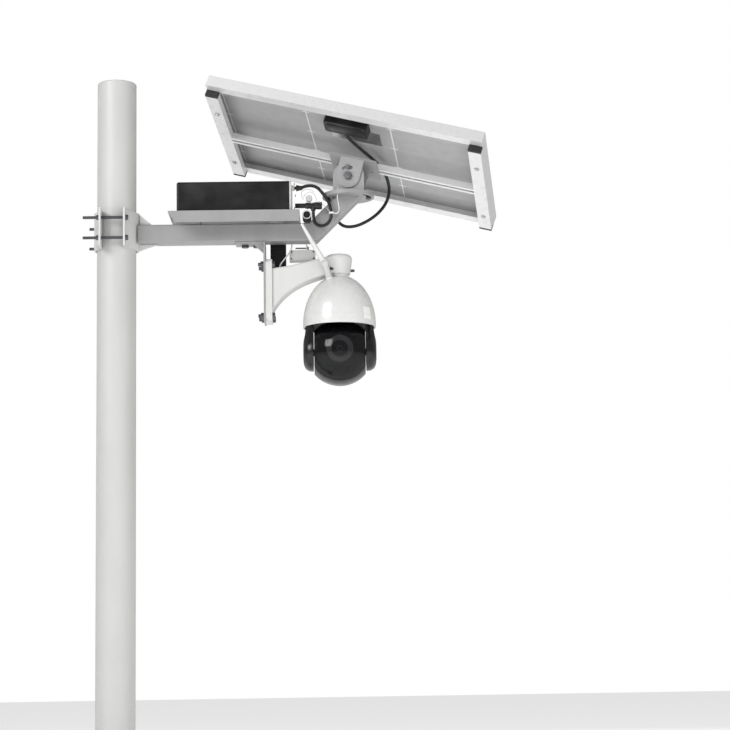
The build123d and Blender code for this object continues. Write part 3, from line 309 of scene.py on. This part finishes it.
finishes = {
    "pole_paint": powderCoat("polePaint", (0.50, 0.50, 0.49), 0.42, 0.16),
    "clamp_paint": powderCoat("clampPaint", (0.56, 0.56, 0.55), 0.4, 0.2),
    "fastener": platedMetal("darkZinc", (0.12, 0.12, 0.13), 0.42, (1, 1, 1), 0.85),
    # the beam paint is a darker copy of the clamp's light grey: painted shade for the beam lying under the
    # tray, battery and panel
    "beam_paint": powderCoat("beamPaintDarkenedAsShade", (0.28, 0.28, 0.28), 0.42, 0.25),
    "case_black": mouldedPlastic("blackCase", (0.006, 0.006, 0.0065), 0.4, 0.25, 0.05),
    "case_grey": mouldedPlastic("greyCase", (0.5, 0.5, 0.49), 0.5),
    "cells": glossShell("cellSleeve", (0.1, 0.22, 0.42), 0.3, 0.2),
    "arm_white": powderCoat("armWhite", (0.56, 0.56, 0.55), 0.4, 0.14, 0.12),
    "bell_white": glossShell("bellWhite", (0.62, 0.62, 0.61), 0.24, 0.6, 0.14, (0.45, 0.44, 0.42)),
    "antenna_dark": mouldedPlastic("paleHinge", (0.5, 0.5, 0.49), 0.4, 0.15, 0.1),
    "motor_steel": platedMetal("motorCan", (0.5, 0.5, 0.5), 0.32, (1, 1, 8)),
    "board": circuitBoard(),
    "slip_plastic": mouldedPlastic("slipRing", (0.05, 0.05, 0.05), 0.5),
    "gear_nylon": mouldedPlastic("gearNylon", (0.74, 0.73, 0.68), 0.4, 0.1, 0.05),
    "head_black": glossShell("headBlack", (0.003, 0.003, 0.0035), 0.25, 0.1, 0.03, (0.05, 0.05, 0.05)),
    "window": clearSheet("smokedWindow", (0.004, 0.004, 0.005), 0.5),
    # the black lens barrel is lightened to mid grey: a painted highlight so its rings show behind the smoked
    # window
    "barrel": platedMetal("barrelPaintedHighlight", (0.42, 0.42, 0.43), 0.4, (1, 12, 1), 0.4, 0.1),
    "lens": clearSheet("lensGlass", (0.03, 0.035, 0.05), 0.5),
    "lead_rubber": rubberSkin("leadJacket", (0.012, 0.012, 0.012), 0.42),
    "tie_white": mouldedPlastic("tieNylon", (0.78, 0.78, 0.75), 0.4, 0.1),
    "wire_grey": rubberSkin("paleJacket", (0.5, 0.5, 0.5), 0.5),
    "frame_alu": platedMetal("frameAlu", (0.72, 0.72, 0.72), 0.42, (1, 1, 1), 0.4, 0.15),
    "panel_glass": clearSheet("topGlass", (0.75, 0.8, 0.85), 0.25),
    "cell_blue": backSheet(),
    "cap_rubber": rubberSkin("capRubber", (0.014, 0.014, 0.014), 0.6),
}
print("finishes made")

slotOf = {part["node"]: part["material_slot"] for part in frame["record"]["subparts"]}
for node, part in frame["nodes"].items():
    part.data.materials.clear()
    part.data.materials.append(finishes[slotOf[node]])


def finishPiece(mesh, name, body, slotName):
    if isinstance(mesh, bmesh.types.BMesh):
        data = bpy.data.meshes.new(name)
        mesh.to_mesh(data)
        mesh.free()
        mesh = data
    for face in mesh.polygons:
        face.use_smooth = True
    mesh.materials.clear()
    mesh.materials.append(finishes[slotName])
    piece = bpy.data.objects.new(name, mesh)
    bpy.context.scene.collection.objects.link(piece)
    mesh.set_sharp_from_angle(angle=math.radians(35))
    if body:
        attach(piece, body)
    return piece


# ---- leads
leads = {
    "width": 7 * mm,
    "batteryRoute": [
        (384.5, -33, 1293), (398, -33, 1293), (415, -33, 1299), (433, -33, 1296), (446, -33, 1281),
        (457, -33, 1265), (463, -33, 1247), (464, -33, 1228), (456, -33, 1213), (441, -33, 1208),
        (428, -33, 1215), (425, -33, 1229), (425, -33, 1243),
    ],
    "wireWidth": 3 * mm,
    "wireRoute": [
        (348, 0, 1115), (350, 0, 1129), (359, 1, 1142), (369, 3, 1154), (377, 5, 1167), (378, 5, 1179.9),
    ],
    "panelRoute": [
        (495.65, -81.1, 1403.95), (498.1, -63.2, 1398.7), (514.3, -43.3, 1387.8), (534.3, -23.4, 1375.6),
        (555.7, -1.6, 1362.9), (573.7, 23.8, 1350.5), (587, 47, 1334), (593, 58, 1308), (586, 55, 1280),
        (568, 49, 1255), (543, 46, 1236), (515, 46, 1224), (489, 45, 1224), (474, 41, 1240), (474, 26.3, 1240),
    ],
    "panelSplit": 1308 * mm,
}


def makeRoute(name, route, width, slotName):
    line = bpy.data.curves.new(name, "CURVE")
    line.dimensions = "3D"
    run = line.splines.new("NURBS")
    run.points.add(len(route) - 1)
    for point, spot in zip(run.points, route):
        point.co = (*(part * mm for part in spot), 1)
    run.order_u = 3
    run.use_endpoint_u = True
    run.resolution_u = 10
    line.bevel_depth = width / 2
    line.bevel_resolution = 5
    line.use_fill_caps = True
    line.materials.append(finishes[slotName])
    lead = bpy.data.objects.new(name, line)
    bpy.context.scene.collection.objects.link(lead)
    return lead


def bentMesh(lead):
    return bpy.data.meshes.new_from_object(lead.evaluated_get(bpy.context.evaluated_depsgraph_get()))


def centreLine(lead):
    depth = lead.data.bevel_depth
    lead.data.bevel_depth = 0
    bpy.context.view_layer.update()
    mesh = bentMesh(lead)
    points = [vertex.co.copy() for vertex in mesh.vertices]
    bpy.data.meshes.remove(mesh)
    lead.data.bevel_depth = depth
    bpy.context.view_layer.update()
    return points


def runLength(points):
    return sum((after - before).length for before, after in zip(points, points[1:]))


batteryCord = makeRoute("batteryCord", leads["batteryRoute"], leads["width"], "lead_rubber")
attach(batteryCord, "mast")
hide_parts("battery_lead")

wireCord = makeRoute("cameraWires", leads["wireRoute"], leads["wireWidth"], "wire_grey")
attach(wireCord, "mast")
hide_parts("camera_wires")


# the panel's lead crosses two joints, so it is cut in two level with the yoke
def makePanelLead():
    whole = makeRoute("panelLeadWhole", leads["panelRoute"], leads["width"], "lead_rubber")
    bpy.context.view_layer.update()
    line = centreLine(whole)
    cut = leads["panelSplit"]
    halves = {}
    for name, above in (("panelLeadUpper", True), ("panelLeadLower", False)):
        bm = bmesh.new()
        bm.from_mesh(bentMesh(whole))
        bmesh.ops.remove_doubles(bm, verts=bm.verts[:], dist=1e-6)
        everything = bm.verts[:] + bm.edges[:] + bm.faces[:]
        bmesh.ops.bisect_plane(bm, geom=everything, dist=1e-7, plane_co=(0, 0, cut), plane_no=(0, 0, 1),
                               clear_inner=above, clear_outer=not above)
        halves[name] = finishPiece(bm, name, None, "lead_rubber")
    bpy.data.objects.remove(whole)
    split = next(i for i, point in enumerate(line) if point.z < cut)
    before, after = line[split - 1], line[split]
    middle = before.lerp(after, (before.z - cut) / (before.z - after.z))
    upperPath = line[:split] + [middle]
    lowerPath = [middle] + line[split:]
    upper, lower = halves["panelLeadUpper"], halves["panelLeadLower"]
    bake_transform(upper)
    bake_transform(lower)
    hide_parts("panel_lead")
    runLength(upperPath)
    runLength(lowerPath)


makePanelLead()
print("leads made")

# ---- small shapes that several pieces share
def lathe(profile, centre, axis, steps=32):
    # turns (radius, height) pairs round an axis
    bm = bmesh.new()
    spots = [bm.verts.new((radius, 0, height)) for radius, height in profile]
    edges = [bm.edges.new(pair) for pair in zip(spots, spots[1:])]
    bmesh.ops.spin(bm, geom=spots + edges, cent=(0, 0, 0), axis=(0, 0, 1), angle=math.tau, steps=steps,
                   use_merge=True)
    bmesh.ops.remove_doubles(bm, verts=bm.verts[:], dist=1e-7)
    bmesh.ops.recalc_face_normals(bm, faces=bm.faces[:])
    stand(bm, centre, axis)
    return bm


def stand(bm, centre, axis):
    turn = Vector(axis).to_track_quat("Z", "Y").to_matrix().to_4x4()
    bmesh.ops.transform(bm, matrix=Matrix.Translation(Vector(centre)) @ turn, verts=bm.verts[:])


def block(size, centre, rounding):
    bm = bmesh.new()
    bmesh.ops.create_cube(bm, size=1)
    bmesh.ops.scale(bm, vec=size, verts=bm.verts[:])
    bmesh.ops.bevel(bm, geom=bm.edges[:], offset=rounding, offset_type="OFFSET", affect="EDGES", segments=2,
                    profile=0.5, material=-1)
    bmesh.ops.translate(bm, vec=centre, verts=bm.verts[:])
    return bm


def join(parts):
    whole = bmesh.new()
    for part in parts:
        mesh = bpy.data.meshes.new("part")
        part.to_mesh(mesh)
        part.free()
        whole.from_mesh(mesh)
        bpy.data.meshes.remove(mesh)
    return whole


def panScrew(centre, axis, radius=2.6 * mm, height=1.6 * mm):
    # a low domed head with a hex socket
    bm = bmesh.new()
    bmesh.ops.create_circle(bm, cap_ends=True, radius=radius, segments=24)
    top = bmesh.ops.extrude_face_region(bm, geom=bm.faces[:])
    topVerts = [item for item in top["geom"] if isinstance(item, bmesh.types.BMVert)]
    bmesh.ops.translate(bm, vec=(0, 0, height), verts=topVerts)
    rim = [edge for edge in bm.edges if all(vert in topVerts for vert in edge.verts)]
    bmesh.ops.bevel(bm, geom=rim, offset=height * 0.6, offset_type="OFFSET", affect="EDGES", segments=3,
                    profile=0.5, material=-1)
    cap = max(bm.faces, key=lambda face: face.calc_center_median().z + face.calc_area())
    bmesh.ops.inset_region(bm, faces=[cap], thickness=radius * 0.12)
    bmesh.ops.translate(bm, vec=(0, 0, -height * 0.55), verts=cap.verts[:])
    bmesh.ops.recalc_face_normals(bm, faces=bm.faces[:])
    stand(bm, centre, axis)
    return bm


def hexHead(centre, axis, across, height):
    # a chamfered hexagon on a washer
    bm = bmesh.new()
    bmesh.ops.create_circle(bm, cap_ends=True, radius=across / math.sqrt(3), segments=6)
    top = bmesh.ops.extrude_face_region(bm, geom=bm.faces[:])
    topVerts = [item for item in top["geom"] if isinstance(item, bmesh.types.BMVert)]
    bmesh.ops.translate(bm, vec=(0, 0, height), verts=topVerts)
    bmesh.ops.bevel(bm, geom=bm.edges[:], offset=across * 0.04, offset_type="OFFSET", affect="EDGES",
                    segments=1, profile=0.5, material=-1)
    bmesh.ops.recalc_face_normals(bm, faces=bm.faces[:])
    stand(bm, centre, axis)
    washer = lathe([(across * 0.3, 0.01 * mm), (across * 0.78, 0.01 * mm), (across * 0.8, 0.5 * mm),
                    (across * 0.76, 1 * mm), (across * 0.3, 1 * mm)], centre, axis, 28)
    return join([bm, washer])


def weldBead(start, end, radius, name):
    # overlapping ripples laid along a joint, as a welder leaves them
    count = max(4, int((end - start).length / (radius * 0.7)))
    ripples = []
    for i in range(count + 1):
        bm = bmesh.new()
        bmesh.ops.create_icosphere(bm, subdivisions=1, radius=radius * (1 + 0.12 * math.sin(i * 2.3)))
        bmesh.ops.scale(bm, vec=(1, 1, 0.8), verts=bm.verts[:])
        stand(bm, start.lerp(end, i / count), end - start)
        ripples.append(bm)
    # the weld beads take the beam paint, darkened as painted shade
    finishPiece(join(ripples), name, "mast", "beam_paint")


def threadSleeve(start, end, radius, pitch):
    # a fine helical ridge standing just proud of a plain rod
    bm = bmesh.new()
    turns = int((end - start).length / pitch)
    heights = [i * pitch / 2 for i in range(2 * turns + 1)]
    spots = [bm.verts.new((radius + (0.32 * mm if i % 2 else 0.02 * mm), 0, height))
             for i, height in enumerate(heights)]
    edges = [bm.edges.new(pair) for pair in zip(spots, spots[1:])]
    bmesh.ops.spin(bm, geom=spots + edges, cent=(0, 0, 0), axis=(0, 0, 1), dvec=(0, 0, pitch / 14),
                   angle=math.tau, steps=14, use_merge=False)
    bmesh.ops.remove_doubles(bm, verts=bm.verts[:], dist=0.02 * mm)
    bmesh.ops.recalc_face_normals(bm, faces=bm.faces[:])
    stand(bm, start, end - start)
    return bm


def at(*spot):
    return Vector(spot) * mm


# ---- clamp and pole
clampLook = {
    "rodSides": (-58, 58),
    "rodHeights": (1184, 1228),
    "rodStart": -65.6,
    "rodEnd": 20.5,
    "rod": 3,
    "pitch": 1.25,
    "welds": {
        "beamWeldFront": ((47.8, -19, 1180), (47.8, -19, 1220), 1.6),
        "beamWeldBack": ((47.8, 19, 1180), (47.8, 19, 1220), 1.6),
        "gussetWeldTop": ((48.5, -2.6, 1220.6), (48.5, -2.6, 1246), 1.1),
        "gussetWeldUnder": ((53, -2.8, 1179.6), (90, -2.8, 1179.6), 1.1),
    },
}
rods = []
for side in clampLook["rodSides"]:
    for height in clampLook["rodHeights"]:
        ends = (at(clampLook["rodStart"], side, height), at(clampLook["rodEnd"], side, height))
        rods.append(threadSleeve(*ends, clampLook["rod"] * mm, clampLook["pitch"] * mm))
finishPiece(join(rods), "rodThreads", "mast", "fastener")

for name, (start, end, radius) in clampLook["welds"].items():
    weldBead(at(*start), at(*end), radius * mm, name)

# the pole's seam weld and its base welds
poleLook = {
    "radius": 42,
    "seamBearing": 205,
    "seamSize": (1.6, 1.0, 1488),
    "seamMiddle": 764,
    "seamSunk": 0.4,
    "foot": ((41.8, 16), (43.4, 15.2), (45.6, 13), (46.4, 12.05)),
}
bearing = math.radians(poleLook["seamBearing"])
seamLine = Vector((math.cos(bearing), math.sin(bearing), 0)) * (poleLook["radius"] - poleLook["seamSunk"]) * mm
seam = block(at(*poleLook["seamSize"]), seamLine + at(0, 0, poleLook["seamMiddle"]), 0.3 * mm)
finishPiece(seam, "poleSeam", "mast", "pole_paint")
footRing = lathe([(radius * mm, height * mm) for radius, height in poleLook["foot"]], (0, 0, 0), (0, 0, 1), 64)
finishPiece(footRing, "poleFootWeld", "mast", "pole_paint")
print("clamp and pole dressed")

# ---- battery case
caseLook = {
    "end": 384.45,
    "screwSides": (-53, 53),
    "screwHeights": (1244, 1297),
    "ribs": 9,
    "ribFirst": 170,
    "ribLast": 350,
    "ribSize": (6, 96, 1.2),
    "ribHeight": 1304.3,
    "gland": ((3.55, 0), (6.6, 0), (7, 0.8), (6.2, 2.2), (6.4, 3), (5.4, 7), (4.3, 13), (3.55, 14)),
    "glandFoot": (388.5, -33, 1293),
}
capScrews = [panScrew(at(caseLook["end"], side, height), (1, 0, 0))
             for side in caseLook["screwSides"] for height in caseLook["screwHeights"]]
finishPiece(join(capScrews), "endCapScrews", "mast", "fastener")
ribStep = (caseLook["ribLast"] - caseLook["ribFirst"]) / (caseLook["ribs"] - 1)
ribSpots = [at(caseLook["ribFirst"] + i * ribStep, 0, caseLook["ribHeight"]) for i in range(caseLook["ribs"])]
ribs = [block(at(*caseLook["ribSize"]), spot, 0.5 * mm) for spot in ribSpots]
finishPiece(join(ribs), "caseRibs", "mast", "case_black")
gland = lathe([(radius * mm, height * mm) for radius, height in caseLook["gland"]], at(*caseLook["glandFoot"]),
              (1, 0, 0))
finishPiece(gland, "batteryStrainRelief", "mast", "lead_rubber")
print("battery dressed")

# ---- connectors on the battery lead
plugLook = {
    "axis": (-33, 1254),
    "rings": ((390, 5.1, 1.2), (394, 5.1, 1.2), (398, 5.1, 1.2), (402, 5.1, 1.2), (412, 6.6, 2), (418, 6.6, 2),
              (434, 8.1, 1.5), (438, 8.1, 1.5)),
    "coupler": ((7.3, 0), (9.4, 0), (9.8, 0.8), (9.3, 1.6), (7.3, 1.4)),
    "couplerFace": (411, -34.95, 1234),
    "pin": ((0, 0), (0.45, 0), (0.45, 6), (0, 6.4)),
    "pinDepth": -23.2,
    "pinShifts": [(x, z) for x in (4.2, 5.4) for z in (-3, -1, 1, 3)],
    "grip": ((0, 1.3), (4.6, 1.2), (5, 0.5), (6.4, 0.4), (6.9, 0)),
    "gripFace": (416, -35, 1270),
}
plugRings = []
for x, radius, width in plugLook["rings"]:
    inner, outer = radius - 0.2, radius + 0.7
    profile = ((inner, 0), (outer, 0.2), (outer, width), (inner, width + 0.2))
    plugRings.append(lathe([(r * mm, h * mm) for r, h in profile], at(x, *plugLook["axis"]), (1, 0, 0), 24))
finishPiece(join(plugRings), "plugRings", "mast", "lead_rubber")
ring = lathe([(r * mm, h * mm) for r, h in plugLook["coupler"]], at(*plugLook["couplerFace"]), (0, -1, 0), 40)
finishPiece(ring, "couplerRing", "mast", "case_grey")
faceX, _, faceZ = plugLook["couplerFace"]
pins = [lathe([(r * mm, h * mm) for r, h in plugLook["pin"]], at(faceX + x, plugLook["pinDepth"], faceZ + z),
              (0, -1, 0), 8) for x, z in plugLook["pinShifts"]]
finishPiece(join(pins), "couplerPins", "mast", "motor_steel")
capGrip = lathe([(r * mm, h * mm) for r, h in plugLook["grip"]], at(*plugLook["gripFace"]), (0, -1, 0), 32)
finishPiece(capGrip, "capFace", "mast", "case_grey")


def strip(points, width, thick, across, name, slotName):
    # a flat strap: a rectangle carried along the points, its broad face square to `across`
    bm = bmesh.new()
    across = Vector(across).normalized()
    before = None
    for i, point in enumerate(points):
        ahead = (points[min(i + 1, len(points) - 1)] - points[max(i - 1, 0)]).normalized()
        rise = ahead.cross(across).normalized()
        ring = [bm.verts.new(point + across * width * a / 2 + rise * thick * b / 2)
                for a, b in ((-1, -1), (1, -1), (1, 1), (-1, 1))]
        edges = [bm.edges.new((ring[k - 1], ring[k])) for k in range(4)]
        if before:
            bmesh.ops.bridge_loops(bm, edges=before + edges)
        else:
            bm.faces.new(ring)
        before = edges
        last = ring
    bm.faces.new(last)
    bmesh.ops.recalc_face_normals(bm, faces=bm.faces[:])
    finishPiece(bm, name, "mast", slotName)


def curvePoints(route):
    # samples a smooth line through a few given points
    line = makeRoute("guide", route, 0, "tie_white")
    points = centreLine(line)
    bpy.data.objects.remove(line)
    return points


straps = {
    "tieTail": {
        "route": [(466, -37.6, 1238), (474, -39, 1233), (481, -40, 1240), (479, -40.5, 1256), (476, -41, 1272),
                  (478, -42, 1290)],
        "size": (2.6, 1.1),
        "across": (0.2, -1, 0.1),
        "slot": "tie_white",
    },
    "cableStrap": {
        "route": [(420, -38, 1258), (432, -39, 1262), (446, -39, 1256), (458, -38.6, 1242), (463, -38.3, 1237)],
        "size": (2.2, 0.9),
        "across": (0, -1, 0.1),
        "slot": "wire_grey",
    },
}
for name, strap in straps.items():
    width, thick = (size * mm for size in strap["size"])
    strip(curvePoints(strap["route"]), width, thick, strap["across"], name, strap["slot"])
thinWires = {
    "greenPair": [(404, -36, 1272), (410, -38, 1281), (420, -38, 1284), (431, -38, 1276), (432, -36, 1264)],
    "palePair": [(404, -36, 1266), (398, -39, 1276), (404, -40, 1288), (418, -39, 1290), (427, -37, 1283)],
}
for name, route in thinWires.items():
    thread = makeRoute(name, route, 1.3 * mm, "wire_grey")
    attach(thread, "mast")
    runLength(curvePoints(route))
print("connectors dressed")

# ---- camera bracket, terminal box and converter
boxLook = {
    "screwFace": 8.95,
    "screwSides": (376, 424),
    "screwHeights": (1147, 1162),
    "lidSize": (52.6, 0.6, 19.6),
    "lidMiddle": (400, 8.9, 1154.5),
    "fins": 13,
    "finSize": (32, 1.6, 1.8),
    "finFirst": (347, 30.4, 1112),
    "finPitch": 7,
}
boxScrews = [panScrew(at(x, boxLook["screwFace"], z), (0, -1, 0), 2 * mm, 1.2 * mm)
             for x in boxLook["screwSides"] for z in boxLook["screwHeights"]]
finishPiece(join(boxScrews), "terminalLidScrews", "mast", "fastener")
lidSeam = block(at(*boxLook["lidSize"]), at(*boxLook["lidMiddle"]), 0.25 * mm)
finishPiece(lidSeam, "terminalLid", "mast", "case_grey")
finX, finY, finZ = boxLook["finFirst"]
fins = [block(at(*boxLook["finSize"]), at(finX, finY, finZ + boxLook["finPitch"] * i), 0.4 * mm)
        for i in range(boxLook["fins"])]
finishPiece(join(fins), "converterFins", "mast", "case_black")
print("boxes dressed")

# ---- dome camera
bellLook = {
    "centre": (478, 0, 1000),
    "radius": 78,
    "rise": 107,
    "beads": {
        "bellRim": ((75.2, 992.1), (77.6, 992.02), (78.0, 993), (77.9, 995.5), (77.2, 996.4)),
        "bellParting": ((77.3, 1012.0), (77.75, 1012.3), (77.7, 1013.3), (77.1, 1013.6)),
    },
    "labelBearing": -40,
    "labelHeight": 1016,
    "labelHalf": (0.135, 13),
    "labelProud": 0.25,
}


def onBell(bearing, height, proud=0.0):
    x, y, z = bellLook["centre"]
    share = (height - z) / (bellLook["rise"] + proud)
    radius = (bellLook["radius"] + proud) * math.sqrt(max(0, 1 - share ** 2))
    return at(x + radius * math.cos(bearing), y + radius * math.sin(bearing), height)


for name, profile in bellLook["beads"].items():
    bead = lathe([(radius * mm, height * mm) for radius, height in profile], at(bellLook["centre"][0], 0, 0),
                 (0, 0, 1), 96)
    finishPiece(bead, name, "mast", "bell_white")


def bellLabel():
    # a blank sticker that lies on the bell's curve
    bm = bmesh.new()
    bmesh.ops.create_grid(bm, x_segments=10, y_segments=10, size=1)
    turn, rise = bellLook["labelHalf"]
    for vert in bm.verts:
        bearing = math.radians(bellLook["labelBearing"]) + vert.co.x * turn
        vert.co = onBell(bearing, bellLook["labelHeight"] + vert.co.y * rise, bellLook["labelProud"])
    bmesh.ops.recalc_face_normals(bm, faces=bm.faces[:])
    bmesh.ops.solidify(bm, geom=bm.faces[:], thickness=0.2 * mm)
    finishPiece(bm, "blankLabel", "mast", "tie_white")


bellLabel()

shoulder = {
    "middle": (478, 0, 939),
    # reach from the middle, scale of the disc, half width of the strap and height of its top
    "levels": ((56.5, 1.0, 36, 1006), (65, 0.98, 36, 1006), (71, 0.9, 32, 995), (74.5, 0.8, 26, 972),
               (77, 0.64, 18, 962), (78.2, 0.42, 10, 955)),
    "round": 41,
    "steps": 14,
}


def shoulderRing(bm, reach, scale, half, top, side):
    # one closed outline: a strap that widens into a disc round the tilt shaft
    x, y, z = shoulder["middle"]
    radius = shoulder["round"] * scale
    start = math.asin(min(1, half / radius))
    spots = [(half, top), (half, (top + z + radius) / 2)]
    for i in range(shoulder["steps"] + 1):
        turn = start + (math.tau - 2 * start) * i / shoulder["steps"]
        spots.append((radius * math.sin(turn), z + radius * math.cos(turn)))
    spots += [(-half, (top + z + radius) / 2), (-half, top)]
    ring = [bm.verts.new(at(x + side * reach, y + across, height)) for across, height in spots]
    return [bm.edges.new(pair) for pair in zip(ring, ring[1:] + ring[:1])]


def makeShoulders():
    shells = []
    for side in (-1, 1):
        bm = bmesh.new()
        rings = [shoulderRing(bm, *level, side) for level in shoulder["levels"]]
        for inner, outer in zip(rings, rings[1:]):
            bmesh.ops.bridge_loops(bm, edges=inner + outer)
        for ring in (rings[0], rings[-1]):
            bmesh.ops.contextual_create(bm, geom=ring)
        bmesh.ops.recalc_face_normals(bm, faces=bm.faces[:])
        shells.append(bm)
    shoulders = finishPiece(join(shells), "yokeShoulders", "pan_head", "head_black")
    soften = shoulders.modifiers.new("soften", "BEVEL")
    soften.width = 2.5 * mm
    soften.segments = 3
    soften.limit_method = "ANGLE"
    soften.angle_limit = math.radians(30)
    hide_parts("yoke_covers")


makeShoulders()
headLook = {"middle": (478, 939), "bezels": ((28.6, -58.4, 2.6), (19.5, -58.2, 1.8), (6.5, -56, 1.2))}
headX, headZ = headLook["middle"]
bezels = []
for radius, depth, width in headLook["bezels"]:
    bezels.append(lathe([((radius - width) * mm, 0), (radius * mm, 0), (radius * mm, 1.2 * mm),
                         ((radius - width * 0.3) * mm, 1.8 * mm), ((radius - width) * mm, 1.4 * mm)],
                        at(headX, depth, headZ), (0, -1, 0), 64))
# the bezels take the lightened barrel finish, a painted highlight
finishPiece(join(bezels), "lensBezels", "camera_head", "barrel")
print("camera dressed")

# ---- solar panel
panelFrame = panelMatrix()


def onPanel(u, v, n):
    return (panelFrame @ Vector((u, v, n))) * mm


def panelWay(u, v, n):
    return panelFrame.to_3x3() @ Vector((u, v, n))


panelParts = {
    "back": 18.8,
    "lidFace": -0.2,
    "lidMiddle": -112,
    "lidScrews": [(u, v) for u in (-41, 41) for v in (-15, 15)],
    "stepSize": (84, 24, 0.8),
    "stepProud": 0.3,
    "railScrews": [(u, v) for u in (-292.5, 292.5) for v in (-88, 119)],
    "railFace": -14.05,
    "relief": ((3.55, 0), (6.4, 0), (6.7, 0.8), (6, 2), (5.2, 6), (4.2, 12), (3.55, 13)),
    "plateSize": (112, 46, 1.6),
    "plateMiddle": (12, -66),
}
underneath = panelWay(0, 0, -1)
lidSpots = [onPanel(u, panelParts["lidMiddle"] + v, panelParts["lidFace"]) for u, v in panelParts["lidScrews"]]
lidScrews = [panScrew(spot, underneath, 2.2 * mm, 1.2 * mm) for spot in lidSpots]
finishPiece(join(lidScrews), "lidScrews", "panel", "fastener")
lidCentre = onPanel(0, panelParts["lidMiddle"], panelParts["lidFace"] - panelParts["stepProud"])
lidRim = block(at(*panelParts["stepSize"]), lidCentre, 0.3 * mm)
bmesh.ops.rotate(lidRim, cent=lidCentre, matrix=panelFrame.to_3x3(), verts=lidRim.verts[:])
finishPiece(lidRim, "lidStep", "panel", "case_black")
railScrews = [hexHead(onPanel(u, v, panelParts["railFace"]), underneath, 7 * mm, 3 * mm)
              for u, v in panelParts["railScrews"]]
finishPiece(join(railScrews), "railScrews", "panel", "motor_steel")
relief = lathe([(radius * mm, height * mm) for radius, height in panelParts["relief"]],
               at(*leads["panelRoute"][0]), panelWay(0, 1, 0))
finishPiece(relief, "panelStrainRelief", "panel", "lead_rubber")
plate = bmesh.new()
bmesh.ops.create_cube(plate, size=1)
bmesh.ops.scale(plate, vec=at(*panelParts["plateSize"]), verts=plate.verts[:])
plateCentre = Matrix.Translation(onPanel(*panelParts["plateMiddle"], panelParts["back"] - 1))
bmesh.ops.transform(plate, matrix=plateCentre @ panelFrame.to_3x3().to_4x4(), verts=plate.verts[:])
finishPiece(plate, "blankPlate", "panel", "motor_steel")
print("panel dressed")

# ---- staging
stage = {
    "floor": (0.9, 0.9, 0.9),
    "glow": 0.45,
    "world": 0.34,
    "paper": 1.0,
    "key": {"place": (-2.4, -3.2, 3.0), "size": 2.0, "power": 120},
    "fill": {"place": (3.4, -2.6, 1.4), "size": 3.0, "power": 45},
    "under": {"place": (0.8, -2.2, 0.3), "size": 1.8, "power": 20},
    "rear": {"place": (0.4, 3.2, 2.6), "size": 2.6, "power": 60},
    "target": (0.4, 0, 1.2),
}


def makeStage():
    bm = bmesh.new()
    bmesh.ops.create_grid(bm, x_segments=1, y_segments=1, size=14)
    mesh = bpy.data.meshes.new("floor")
    bm.to_mesh(mesh)
    bm.free()
    floor = bpy.data.objects.new("floor", mesh)
    bpy.context.scene.collection.objects.link(floor)
    floor.location.z = -0.001
    net = Net("floorPaper", Roughness=0.9, Emission_Color=(1, 1, 1, 1), Emission_Strength=stage["glow"])
    net.feed("Base Color", net.blend(net.noise(3, 2) * 0.1, stage["floor"], shade(stage["floor"], 0.95)))
    mesh.materials.append(net.material)
    world = bpy.data.worlds.new("studio")
    world.use_nodes = True
    tree = world.node_tree
    room = tree.nodes["Background"]
    room.inputs["Color"].default_value = (1, 1, 1, 1)
    room.inputs["Strength"].default_value = stage["world"]
    paper = tree.nodes.new("ShaderNodeBackground")
    paper.inputs["Color"].default_value = (1, 1, 1, 1)
    paper.inputs["Strength"].default_value = stage["paper"]
    pick = tree.nodes.new("ShaderNodeMixShader")
    seen = tree.nodes.new("ShaderNodeLightPath")
    tree.links.new(seen.outputs["Is Camera Ray"], pick.inputs[0])
    tree.links.new(room.outputs[0], pick.inputs[1])
    tree.links.new(paper.outputs[0], pick.inputs[2])
    tree.links.new(pick.outputs[0], tree.nodes["World Output"].inputs[0])
    bpy.context.scene.world = world
    bpy.context.scene.view_settings.view_transform = "Standard"
    for name in ("key", "fill", "under", "rear"):
        lamp = bpy.data.lights.new(name, "AREA")
        lamp.size = stage[name]["size"]
        lamp.energy = stage[name]["power"]
        spot = bpy.data.objects.new(name, lamp)
        spot.visible_glossy = name == "key"
        spot.location = stage[name]["place"]
        aim = Vector(stage["target"]) - Vector(stage[name]["place"])
        spot.rotation_euler = aim.to_track_quat("-Z", "Y").to_euler()
        bpy.context.scene.collection.objects.link(spot)


makeStage()
print("stage set")
